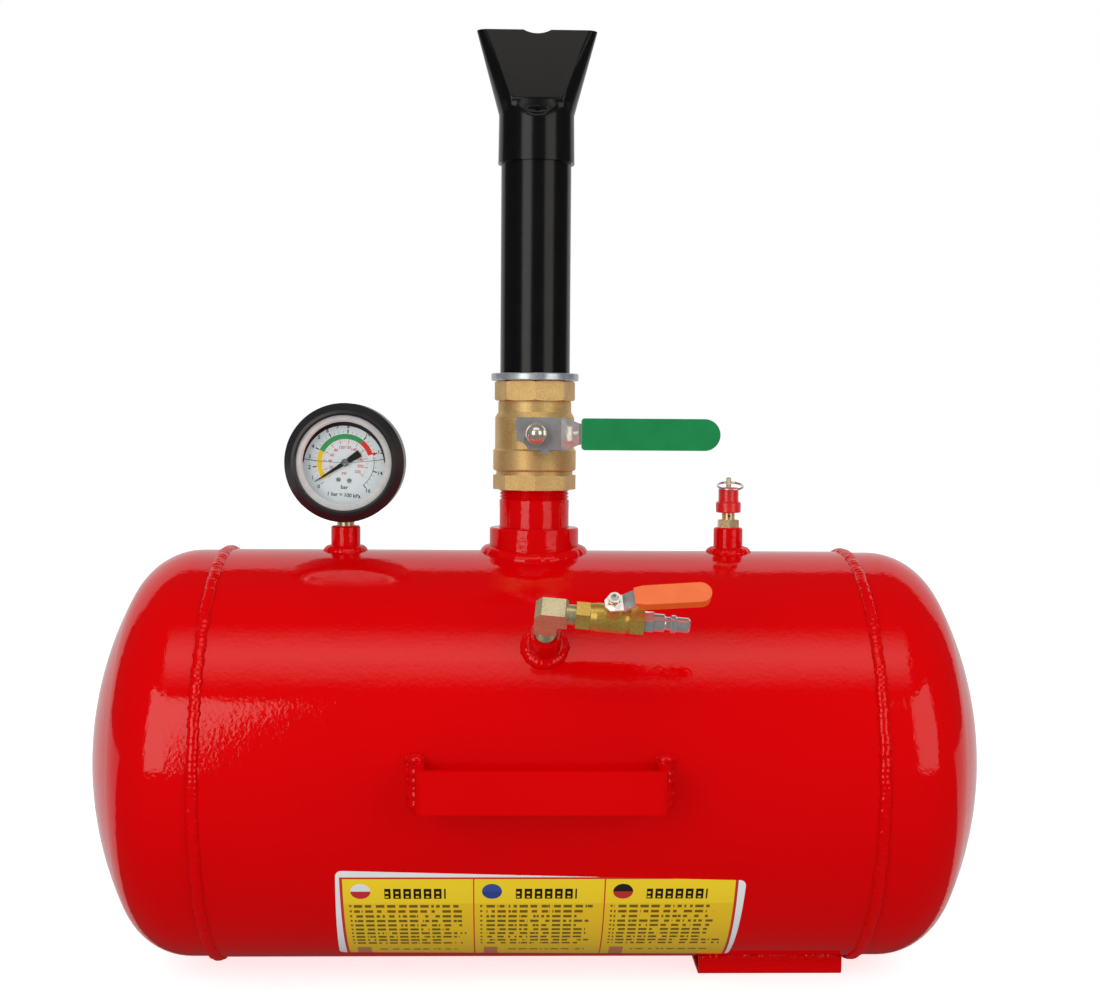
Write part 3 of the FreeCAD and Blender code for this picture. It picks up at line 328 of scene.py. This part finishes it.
# %% Distance and reading at any point of the dial
# The dial also glows faintly in its own colours (Emission Strength 0.14): painted light that brightens the
# face.
dial = Finish("printed dial", Roughness=0.34, Coat_Weight=0.5, Coat_Roughness=0.06,
              Emission_Strength=0.14)
across, _, rise = dial.parts_of(dial.place(dial_mid))


def radius(x, z):
    """The distance from the middle as a share of the dial's open radius."""
    return (x * x + z * z).math("SQRT") / view_r


reach = radius(across, rise)
turned = rise.math("ARCTAN2", across) * (180 / math.pi)
bars = (zero_angle - turned).wrap(360.0) / bar_step
scale_end = 16.03

# %% Coloured band
face = dial.mix(dial.noise(dial.place(), 60.0, 3), rgb("e0eaf0"), rgb("f2f8fb"))
band_in, band_out = 0.575, 0.70
for start, end, tone in ((0.3, 4.0, "ffd60a"), (4.0, 10.0, "35a35c"), (10.0, 12.0, "ee2a16")):
    face = dial.mix(reach.between(band_in, band_out) * bars.between(start, end), face, rgb(tone))
    print("band from", start, "to", end, "bar")


# %% Ticks of both scales, the end arc and the marker
def ticks(step, half, low, high, last=scale_end):
    """Marks every step bars, half wide, from low to high of the dial's reach."""
    return ((bars + half).wrap(step) < half * 2) * reach.between(low, high) * bars.between(-0.1, last)


fine = ticks(0.5, 0.035, 0.72, 0.77)
coarse = ticks(2.0, 0.06, 0.71, 0.81)
arc = reach.between(0.695, 0.71) * bars.between(12.3, scale_end)
face = dial.mix((fine * 0.45 + coarse + arc * 0.9).capped(), face, rgb("15191c"))
psi_step, psi_end = 20 / psi_per_bar, 15.3
red_ticks = (ticks(psi_step / 4, 0.03, 0.50, 0.565, psi_end) * 0.6
             + ticks(psi_step, 0.055, 0.46, 0.565, psi_end))
face = dial.mix(red_ticks.capped(), face, rgb("e2413c"))
marker = ((bars - 12.0).size() < 0.16) * reach.between(0.70, 0.76)
face = dial.mix(marker, face, rgb("e02018"))
print("a red tick every", round(psi_step, 3), "bar")

# %% [markdown]
# Behind the top of the window the case throws shade into the gap between it and the dial. That shade is
# painted on the dial as a thin dark crescent: what lies outside a circle that is a little lower than the
# dial.

# %% Painted shade crescent
painted_gap_shade = (radius(across + 0.0010, rise + 0.0024) > 0.985) * (rise > 0.0)
face = dial.mix(painted_gap_shade, face, rgb("16181a"))
# The face also feeds Emission Color, so the painted glow carries the print and the painted shade crescent.
dress(dial.finish(Base_Color=face, Emission_Color=face), "gauge_dial")

# %% [markdown]
# The numbers on the dial are real letter shapes. Each is a text curve, turned into a mesh,
# laid flat on the dial and joined with the others of its colour.

# %% Objects from meshes
def new_object(name, mesh, material=None):
    """Turns a bmesh into an object at the origin."""
    data = bpy.data.meshes.new(name)
    mesh.to_mesh(data)
    mesh.free()
    if material:
        data.materials.append(material)
    thing = bpy.data.objects.new(name, data)
    bpy.context.scene.collection.objects.link(thing)
    return thing


def new_piece(name, mesh, material, body, smooth=True):
    """Turns a bmesh into a piece of the part, which rides on a body."""
    piece = new_object(name, mesh, material)
    for face in piece.data.polygons:
        face.use_smooth = smooth
    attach(piece, body)
    print(name, len(piece.data.polygons), "faces")
    return piece


def modified_mesh(thing):
    """The mesh of an object as its modifiers leave it."""
    graph = bpy.context.evaluated_depsgraph_get()
    return bpy.data.meshes.new_from_object(thing.evaluated_get(graph))


# %% Words laid on the dial
word_turn = Matrix.Rotation(math.radians(5), 4, "Y") @ Matrix.Rotation(math.pi / 2, 4, "X")
word_lift = Vector((0, -0.00006, 0))


def lay_words(name, words, ink):
    """Joins words, each given as text, height, reading angle and reach, into one flat piece."""
    mesh = bmesh.new()
    for text, height, angle, reach_at in words:
        curve = bpy.data.curves.new("word", "FONT")
        curve.body, curve.size, curve.resolution_u, curve.offset = text, height, 3, height * 0.02
        curve.align_x, curve.align_y = "CENTER", "CENTER"
        holder = bpy.data.objects.new("word", curve)
        flat = bpy.data.meshes.new_from_object(holder)
        turn = math.radians(angle)
        out = Vector((math.cos(turn), 0, math.sin(turn))) * reach_at * view_r
        flat.transform(Matrix.Translation(dial_mid + out + word_lift) @ word_turn)
        mesh.from_mesh(flat)
        bpy.data.objects.remove(holder)
        bpy.data.curves.remove(curve)
        bpy.data.meshes.remove(flat)
    return new_piece(name, mesh, ink, "tank", smooth=False)


# %% Ink and numbers
def ink_finish(name, deep, pale):
    """Printing ink, a little uneven."""
    ink = Finish(name, Roughness=0.4)
    return ink.finish(Base_Color=ink.mix(ink.noise(ink.place(), 900.0), rgb(deep), rgb(pale)))


black_ink = ink_finish("black ink", "0c0f12", "3a3f44")
red_ink = ink_finish("red ink", "d8302c", "f06a60")
bar_numbers = [(str(bar), 0.0037, zero_angle - bar_step * bar, 0.885)
               for bar in (0, 1, 2, 3, 4, 5, 6, 7, 8, 10, 12, 14, 16)]
bar_units = [("bar", 0.0038, 267.5, 0.61), ("1 bar = 100 kPa", 0.0036, 267, 0.80)]
lay_words("dial_numbers", bar_numbers + bar_units, black_ink)
psi_numbers = [(str(psi), 0.0028, zero_angle - bar_step * psi / psi_per_bar, 0.375)
               for psi in range(20, 221, 20)]
lay_words("dial_small_numbers", psi_numbers + [("psi", 0.003, 263, 0.26)], red_ink)

# %% [markdown]
# ## Window
# The gauge is filled with glycerine to just above half way. Seen from the front that is a
# thin dark line across the glass. A pane that is mostly transparent, with a mirror mixed in
# by Fresnel, looks like glass and lets the light through to the dial.

# %% Window
pane = Finish("clear window", Roughness=0.02)
across, _, rise = pane.parts_of(pane.place(dial_mid))
line_height, line_half, line_bow = 0.0002, 0.00022, 3.2
on_line = (rise - line_height - across * across * line_bow).size() < line_half
near_rim = across.size() > 0.019
level = on_line * (near_rim * 0.6 + 0.35)
pane.finish(Metallic=1 - level, Base_Color=pane.mix(level > 0.1, (1, 1, 1, 1), rgb("20282c")))
shine = (pane.add("Fresnel", {}, IOR=1.4) * 0.8 + level).capped()
glass = pane.add("MixShader", {}, shine, pane.add("BsdfTransparent"),
                 Value(pane, pane.shader.outputs[0]))
pane.feed(pane.tree.nodes["Material Output"].inputs["Surface"], glass)
dress(pane.material, "gauge_window")

# %% [markdown]
# ## Printed label
# The label wraps round the tank, so its own width and height are measured along the skin: the
# angle round the tank's axis times the radius. In those units it is a white border, a thin red
# frame and three yellow panels. It carries no words: rows of plain bars stand for them.

# %% The label's own measures
label_low, label_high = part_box("label")
label_long = label_high.x - label_low.x
label_angles = [math.atan2(v.co.z - tank_mid.z, tank_mid.y - v.co.y) for v in nodes["label"].data.vertices]
label_top = max(label_angles)
label_tall = (label_top - min(label_angles)) * tank_r
print("label", round(label_long, 3), "by", round(label_tall, 3))

# %% Border, frame and yellow panels
label = Finish("printed label", Roughness=0.36, Coat_Weight=0.7, Coat_Roughness=0.05, Coat_IOR=1.4)
x, y, z = label.parts_of(label.place((label_low.x, tank_mid.y, tank_mid.z)))
down = (label_top - z.math("ARCTAN2", y * -1)) * tank_r
border, frame_line, panel_gap = 0.0048, 0.0014, 0.0004
inset = border + frame_line
panel = (label_long - 2 * inset) / 3
along = (x - inset).wrap(panel)
which = ((x - inset) / panel).math("FLOOR")
paper = label.mix(label.noise(label.place(), 30.0), rgb("e2e6e8"), rgb("f4f6f7"))
in_frame = x.between(border, label_long - border) * down.between(border, label_tall)
sheet = label.mix(in_frame, paper, rgb("d0281c"))
heading_end = 0.0268
yellow = label.mix(down > heading_end, rgb("fdda10"), rgb("f6ca00"))
yellow = label.mix(down / label_tall * 0.4, yellow, rgb("dca800"))
inside = x.between(inset, label_long - inset) * down.between(inset, label_tall)
sheet = label.mix(inside * along.between(panel_gap, panel - panel_gap), sheet, yellow)
print("three panels", round(panel, 4), "wide")

# %% Rows of bars in place of text
text_top, text_end, row_pitch = 0.0282, 0.0782, 0.005
row = (down - text_top) / row_pitch
row_number = row.math("FLOOR")
in_text = down.between(text_top, text_end)
cell = label.add("CombineXYZ", {}, x * 260.0, row_number * 7.3, 0.0)
words = (label.noise(cell, 1.0, 2) > 0.42) * ((x * 900.0).math("SINE") > -0.75)
row_end = label.noise(label.add("CombineXYZ", {}, which * 3.1, row_number * 5.7, 2.0), 1.0, 0)
text = (row.wrap(1.0) < 0.52) * in_text * words * (along > 0.0065) * (along < row_end * 0.05 + 0.048)
dots = (row.wrap(1.0) < 0.4) * in_text * along.between(0.004, 0.0054)
print("rows of bars", round((text_end - text_top) / row_pitch))

# %% Heading bars with slits, and everything in ink
letter = 0.0064
title = down.between(0.0140, 0.0226) * along.between(0.0265, 0.0650) * (along.wrap(letter) < 0.0048)
slit_height = down.between(0.0164, 0.0182) + down.between(0.0202, 0.0216)
slits = slit_height * along.wrap(letter).between(0.0014, 0.0034)
ink = (title * (1 - slits) + text * 0.8 + dots * 0.8).capped()
sheet = label.mix(ink * inside, sheet, rgb("241a06"))

# %% Two-tone discs
disc_along, disc_down, disc_r = 0.0115, 0.0163, 0.0063
off_along, off_down = along - disc_along, down - disc_down
disc = (off_along * off_along + off_down * off_down) < disc_r ** 2
upper = down < disc_down
first = label.mix(upper, rgb("d0202a"), rgb("e6e8ec"))
second = label.mix(upper, rgb("2c4290"), rgb("34509c"))
third = label.mix(upper, rgb("c22a1c"), rgb("26201c"))
disc_tone = label.mix(which > 0.5, first, label.mix(which > 1.5, second, third))
sheet = label.mix(disc * inside, sheet, disc_tone)

# %% Foot of the label, and its finish
foot_mark = (down > 0.082) * along.between(0.006, 0.015)
foot_bars = down.between(0.0855, 0.0885) * along.between(0.020, 0.072) * words
sheet = label.mix(foot_mark * inside, sheet, rgb("c87848"))
sheet = label.mix(foot_bars * inside * 0.7, sheet, rgb("5a3a08"))
creases = label.bump(label.noise(label.place(), 200.0), 0.00002, 0.5)
dress(label.finish(Base_Color=sheet, Normal=creases), "label")

# %% [markdown]
# ## Weld beads
# A hand weld is a row of puddles, each of which froze a moment after the one before it, so it
# looks like a stack of coins pushed over. Here each puddle is a flattened ball. The balls
# overlap along the joint, a voxel remesh fuses them into one skin, and a little smoothing
# melts the edges. A fixed seed keeps the hand's wobble the same on each run.

# %% A bead of fused puddles
def lay_bead(name, puddles, voxel, replaced, melt=2):
    """Fuses puddles, each a place, the joint's direction and three radii, into one weld."""
    mesh = bmesh.new()
    for place, (ahead, out), (long, wide, tall) in puddles:
        side = ahead.cross(out).normalized()
        turn = Matrix((ahead.normalized(), side, out.normalized())).transposed().to_4x4()
        size = Matrix.Diagonal((long, wide, tall, 1))
        bmesh.ops.create_icosphere(mesh, subdivisions=3, radius=1,
                                   matrix=Matrix.Translation(place) @ turn @ size)
    rough = new_object(name + "_rough", mesh)
    fuse = rough.modifiers.new("fuse", "REMESH")
    fuse.mode, fuse.voxel_size = "VOXEL", voxel
    fused = modified_mesh(rough)
    bpy.data.objects.remove(rough)
    mesh = bmesh.new()
    mesh.from_mesh(fused)
    bpy.data.meshes.remove(fused)
    for _ in range(melt):
        bmesh.ops.smooth_vert(mesh, verts=mesh.verts, factor=0.5, use_axis_x=True, use_axis_y=True,
                              use_axis_z=True)
    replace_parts(new_piece(name, mesh, enamel, "tank"), replaced)


hand = random.Random(7)


def wobble(amount):
    """A small random step either way."""
    return (hand.random() - 0.5) * 2 * amount


# %% [markdown]
# The seams that join the heads to the shell are the simplest: a full circle round the tank.

# %% Seams round the two heads
def seam_bead(name, node, count=250):
    low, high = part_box(node)
    middle, half = (low.x + high.x) / 2, (high.x - low.x) / 2
    ring = (high.z - low.z) / 2 - 0.0036
    radii = (0.0030, half * 0.92, 0.0033)
    puddles = []
    for i in range(count):
        angle = 2 * math.pi * i / count
        out = Vector((0, math.cos(angle), math.sin(angle)))
        ahead = Vector((0, -math.sin(angle), math.cos(angle)))
        place = Vector((middle + wobble(0.0005), tank_mid.y, tank_mid.z)) + out * (ring + wobble(0.0002))
        puddles.append((place, (ahead, out), radii))
    lay_bead(name, puddles, 0.0009, node)


seam_bead("left_seam_bead", "left_seam_weld")
seam_bead("right_seam_bead", "right_seam_weld")

# %% [markdown]
# The shell is one sheet rolled into a tube. The seam that closes it runs low along the back.

# %% The long seam at the back
seam_low, seam_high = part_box("long_seam_weld")
seam_mid = (seam_low + seam_high) / 2
seam_angle = math.atan2(seam_mid.z - tank_mid.z, seam_mid.y - tank_mid.y)
seam_out = Vector((0, math.cos(seam_angle), math.sin(seam_angle)))
seam_pitch, seam_end, seam_depth = 0.0033, 0.0022, 0.0014
puddles = []
for i in range(int((seam_high.x - seam_low.x - 2 * seam_end) / seam_pitch) + 1):
    place = Vector((seam_low.x + seam_end + seam_pitch * i, tank_mid.y, tank_mid.z))
    place += seam_out * (tank_r - seam_depth + wobble(0.0002))
    puddles.append((place, (Vector((1, 0, 0)), seam_out), (0.0028, 0.0032 + wobble(0.0003), 0.0029)))
lay_bead("long_seam_bead", puddles, 0.0009, "long_seam_weld")

# %% [markdown]
# The bosses and the barrel coupling stand on the round tank, so their beads rise and fall as
# they go round. The same sum works for all of them: the distance from the tank's axis to its
# skin, measured along the boss.

# %% Beads round the bosses
def ring_bead(name, node, middle_x, tilt, ring, thick, count, voxel):
    """A bead round a boss that leaves the tank at a tilt from straight up."""
    out = Vector((0, -math.sin(tilt), math.cos(tilt)))
    side = Vector((0, -math.cos(tilt), -math.sin(tilt)))
    along_tank = Vector((1, 0, 0))
    centre = Vector((middle_x, tank_mid.y, tank_mid.z))
    puddles = []
    for i in range(count):
        angle = 2 * math.pi * i / count
        spread = along_tank * math.cos(angle) + side * math.sin(angle)
        ahead = side * math.cos(angle) - along_tank * math.sin(angle)
        height = math.sqrt(tank_r ** 2 - (ring * math.sin(angle)) ** 2)
        place = centre + out * (height + wobble(0.0002)) + spread * (ring + wobble(0.0004))
        lean = (out + spread * 0.8).normalized()
        puddles.append((place, (ahead, lean), (thick * 0.85, thick * (1.35 + wobble(0.1)), thick)))
    lay_bead(name, puddles, voxel, node, melt=5)


def middle_x(node):
    low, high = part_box(node)
    return (low.x + high.x) / 2


stack_x, boss_x, inlet_x = (middle_x(node) for node in ("barrel_coupling", "relief_boss", "inlet_boss"))
boss_ring, inlet_tilt = 0.0118, math.radians(51.5)
ring_bead("coupling_bead", "coupling_weld", stack_x, 0, 0.0325, 0.0042, 68, 0.0008)
ring_bead("gauge_boss_bead", "gauge_boss_weld", -boss_x, 0, boss_ring, 0.0034, 28, 0.0006)
ring_bead("relief_boss_bead", "relief_boss_weld", boss_x, 0, boss_ring, 0.0034, 28, 0.0006)
ring_bead("inlet_boss_bead", "inlet_boss_weld", inlet_x, inlet_tilt, boss_ring, 0.0036, 26, 0.0006)

# %% [markdown]
# ## Relief spring
# Pulling the ring lifts the rod against a small spring, which gets shorter from below while
# its top stays put. A copy of the imported coil takes its place on the tank, and the share of
# its length that it would keep when the rod rises is worked out, but the copy is not shortened.

# %% A copy of the spring
spring_low, spring_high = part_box("relief_spring")
lift = next(joint for joint in frame["joints"] if joint["name"] == "relief_lift")
mesh = bmesh.new()
mesh.from_mesh(nodes["relief_spring"].data)
bmesh.ops.remove_doubles(mesh, verts=mesh.verts, dist=0.000001)
spring = new_piece("relief_coil", mesh, nodes["relief_spring"].data.materials[0], "tank")
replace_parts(spring, "relief_spring")
spring_long = spring_high.z - spring_low.z
rod_rise = max(lift["range_m"])
1 - rod_rise / spring_long
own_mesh(spring)
print("spring", round(spring_long, 4), "shortens by", rod_rise)

# %% [markdown]
# The handle and the foot are tacked on with short, lumpy runs. Both follow straight lines, so
# one function lays them, with more wobble than the long seams have.

# %% Lumps along straight lines
def straight_bead(name, node, lines, voxel):
    """Beads along lines, each given by its ends, the way out, two radii and the pitch."""
    puddles = []
    for start, end, out, wide, tall, pitch in lines:
        ahead = (end - start).normalized()
        count = round((end - start).length / pitch)
        for i in range(count + 1):
            place = start.lerp(end, i / count) + Vector([wobble(0.0006) for _ in range(3)])
            radii = (pitch * 0.85, wide * (1 + wobble(0.12)), tall * (1 + wobble(0.12)))
            puddles.append((place, (ahead, out), radii))
    lay_bead(name, puddles, voxel, node)


# %% Beside the handle
handle_low, handle_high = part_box("carry_handle")
skin_y = tank_mid.y - tank_r
lines = []
for side in (-1, 1):
    x = side * (handle_high.x + 0.0012)
    bottom = Vector((x, skin_y, handle_low.z - 0.001))
    top = Vector((x, skin_y - 0.0005, handle_high.z + 0.001))
    lines.append((bottom, top, Vector((side * 0.7, -0.7, 0)), 0.0058, 0.0052, 0.0044))
straight_bead("handle_beads", "handle_welds", lines, 0.0008)

# %% Along the foot
foot_low, foot_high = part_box("foot_bracket")
lines = []
for side in (-1, 1):
    y = tank_mid.y + side * ((foot_high.y - foot_low.y) / 2 + 0.0012)
    z = tank_mid.z - math.sqrt(tank_r ** 2 - (y - tank_mid.y) ** 2) - 0.0008
    start, end = Vector((foot_low.x + 0.003, y, z)), Vector((foot_high.x - 0.003, y, z))
    lines.append((start, end, Vector((0, side * 0.8, -0.6)), 0.0030, 0.0026, 0.0030))
straight_bead("foot_beads", "foot_welds", lines, 0.0007)

# %% [markdown]
# ## The dent in the nozzle
# Where the round collar is crushed flat, the press leaves a half-moon fold in the front. It is
# a real hollow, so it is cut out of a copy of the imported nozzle. The cutter is a flattened
# ball with its top sliced off.

# %% A copy of the nozzle
nozzle_low, nozzle_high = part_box("flare_nozzle")
mesh = bmesh.new()
mesh.from_mesh(nodes["flare_nozzle"].data)
bmesh.ops.remove_doubles(mesh, verts=mesh.verts, dist=0.00001)
nozzle = new_piece("nozzle_with_fold", mesh, satin, "tank")
fold_z = nozzle_high.z - 0.0555
front = min(v.co.y for v in nozzle.data.vertices if abs(v.co.z - fold_z) < 0.004)

# %% The half-moon cutter
fold_radii = (0.0124, 0.0024, 0.0046)
mesh = bmesh.new()
bmesh.ops.create_uvsphere(mesh, u_segments=48, v_segments=24, radius=1,
                          matrix=Matrix.Translation((stack_x, front - 0.0004, fold_z))
                          @ Matrix.Diagonal((*fold_radii, 1)))
cut = bmesh.ops.bisect_plane(mesh, geom=mesh.verts[:] + mesh.edges[:] + mesh.faces[:],
                             plane_co=(0, 0, fold_z), plane_no=(0, 0, 1), clear_outer=True)
bmesh.ops.holes_fill(mesh, edges=[g for g in cut["geom_cut"] if isinstance(g, bmesh.types.BMEdge)])
bmesh.ops.recalc_face_normals(mesh, faces=mesh.faces)
cutter = new_object("fold_cutter", mesh)
print("cutter", len(cutter.data.polygons), "faces")

# %% Pressing the fold
press = nozzle.modifiers.new("fold", "BOOLEAN")
press.operation, press.solver, press.object = "DIFFERENCE", "EXACT", cutter
folded = modified_mesh(nozzle)
nozzle.modifiers.remove(press)
nozzle.data = folded
nozzle.data.set_sharp_from_angle(angle=math.radians(32))
bpy.data.objects.remove(cutter)
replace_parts(nozzle, "flare_nozzle")
print("folded nozzle", len(nozzle.data.polygons), "faces")

# %% [markdown]
# ## Studio
# The part stands in a white studio. The floor is bright everywhere, but gloss paint would
# mirror a bright floor from every side and lose its depth. So the floor is hidden from
# reflections, and a separate pale sheet behind the part is the one that shows in the paint,
# as a rim along the top and the ends.

# %% Floor and reflecting sheet
def sweep(name, start, path, tone, glow, camera_sees, gloss_sees):
    """A sheet that runs back along the floor and, where the path climbs, up a wall."""
    mesh = bmesh.new()
    edge = [mesh.edges.new([mesh.verts.new((x, start, path[0][1])) for x in (-6, 6)])]
    for y, z in path:
        made = bmesh.ops.extrude_edge_only(mesh, edges=edge)["geom"]
        for vert in made:
            if isinstance(vert, bmesh.types.BMVert):
                vert.co.y, vert.co.z = y, z
        edge = [g for g in made if isinstance(g, bmesh.types.BMEdge)]
    bmesh.ops.recalc_face_normals(mesh, faces=mesh.faces)
    paper = Finish(name, Roughness=0.7, Emission_Strength=glow, Specular_IOR_Level=0.0)
    shade = paper.mix(paper.noise(paper.place(), 3.0, 2), (*(c * 0.99 for c in tone[:3]), 1), tone)
    sheet = new_object(name, mesh, paper.finish(Base_Color=shade, Emission_Color=shade))
    sheet.visible_camera, sheet.visible_glossy, sheet.visible_diffuse = camera_sees, gloss_sees, False
    print(name, len(sheet.data.polygons), "faces")
    return sheet


white, pale_grey = (1.0, 1.0, 1.0, 1), (0.8, 0.8, 0.8, 1)
rear_path = [(3.8, -0.001), (4.1, 0.1), (4.2, 0.5), (4.2, 4.9)]
sweep("studio_floor", -6.0, [(6.0, 0.0)], pale_grey, 0.93, True, False)
rear = sweep("rear_sheet", 0.0, rear_path, white, 0.04, False, True)
rear.visible_shadow = False

# %% [markdown]
# Two tall softboxes, one on each side, make the bright patches at the ends of the tank. One
# large lamp overhead, which fades out towards its front and back, makes the long band along
# the top.
# Each is placed by the direction it is seen in from the tank.

# %% Lights
def softbox(name, azimuth, elevation, distance, wide, tall, radiance, fades=False):
    """A rectangular lamp that faces the tank, with its brightness given as radiance."""
    light = bpy.data.lights.new(name, "AREA")
    light.shape, light.size, light.size_y = "RECTANGLE", wide, tall
    light.energy = radiance * math.pi * wide * tall
    light.color = (1.0, 0.97, 0.9)
    thing = bpy.data.objects.new(name, light)
    bpy.context.scene.collection.objects.link(thing)
    az, el = math.radians(azimuth), math.radians(elevation)
    aim = Vector((0, tank_mid.y - tank_r, tank_mid.z + 0.04))
    away = Vector((math.sin(az) * math.cos(el), -math.cos(az) * math.cos(el), math.sin(el)))
    thing.location = aim + away * distance
    thing.rotation_euler = (-away).to_track_quat("-Z", "Y").to_euler()
    if fades:
        light.use_nodes = True
        lamp = Wiring(light.node_tree)
        black = (0, 0, 0, 1)
        over_height = lamp.parts_of(lamp.add("NewGeometry", out="Parametric"))[1]
        fade = lamp.ramp(over_height, (0.0, black), (0.5, white), (1.0, black), curve="EASE")
        lamp.feed(lamp.tree.nodes["Emission"].inputs["Color"], fade)
    print(name, "at", tuple(round(c, 2) for c in thing.location))


softbox("left_softbox", -33.5, 17.5, 1.6, 0.86, 1.14, 2.5)
softbox("right_softbox", 46, 17.5, 1.6, 0.90, 1.10, 1.6)
softbox("overhead_strip", 0, 65, 1.5, 1.5, 1.15, 1.35, fades=True)

# %% [markdown]
# The air is white to the camera and dim in reflections, and gives everything else a soft
# fill. Light Path tells which kind of ray is asking. The Standard view keeps the enamel's red
# as strong as it was mixed.

# %% Air
world = bpy.data.worlds.new("studio_air")
bpy.context.scene.world = world
world.use_nodes = True
air = Wiring(world.node_tree)
fill, gloss_fill, backdrop = 0.60, 0.05, 1.0
dim = air.add("Mix", {}, at={0: air.add("LightPath", out="Is Glossy Ray"), 2: fill, 3: gloss_fill})
seen = air.add("Mix", {}, at={0: air.add("LightPath", out="Is Camera Ray"), 2: dim, 3: backdrop})
background = air.tree.nodes["Background"]
air.feed(background.inputs["Strength"], seen)
air.feed(background.inputs["Color"], white)
bpy.context.scene.view_settings.view_transform = "Standard"
print("air", fill, "on surfaces,", gloss_fill, "in reflections")

# %% [markdown]
# The camera stands just over a metre in front, a little above the tank, and looks slightly
# down. Its axes are worked out from pitch and yaw, and a small roll levels the tank.

# %% Camera
camera_data = bpy.data.cameras.new("front_camera")
camera_data.lens, camera_data.sensor_width = 54.255, 36
camera = bpy.data.objects.new("front_camera", camera_data)
bpy.context.scene.collection.objects.link(camera)
pitch, yaw, roll = math.radians(2.91), math.radians(1.65), -0.007
forward = Vector((math.sin(yaw) * math.cos(pitch), math.cos(yaw) * math.cos(pitch), -math.sin(pitch)))
right = forward.cross(Vector((0, 0, 1))).normalized()
up = (right.cross(forward) + right * roll).normalized()
right = forward.cross(up)
turn = Matrix((right, up, -forward)).transposed().to_4x4()
camera.matrix_world = Matrix.Translation((-0.0247, -1.13695, 0.3765)) @ turn
bpy.context.scene.camera = camera
print("camera at", tuple(round(c, 3) for c in camera.matrix_world.translation))
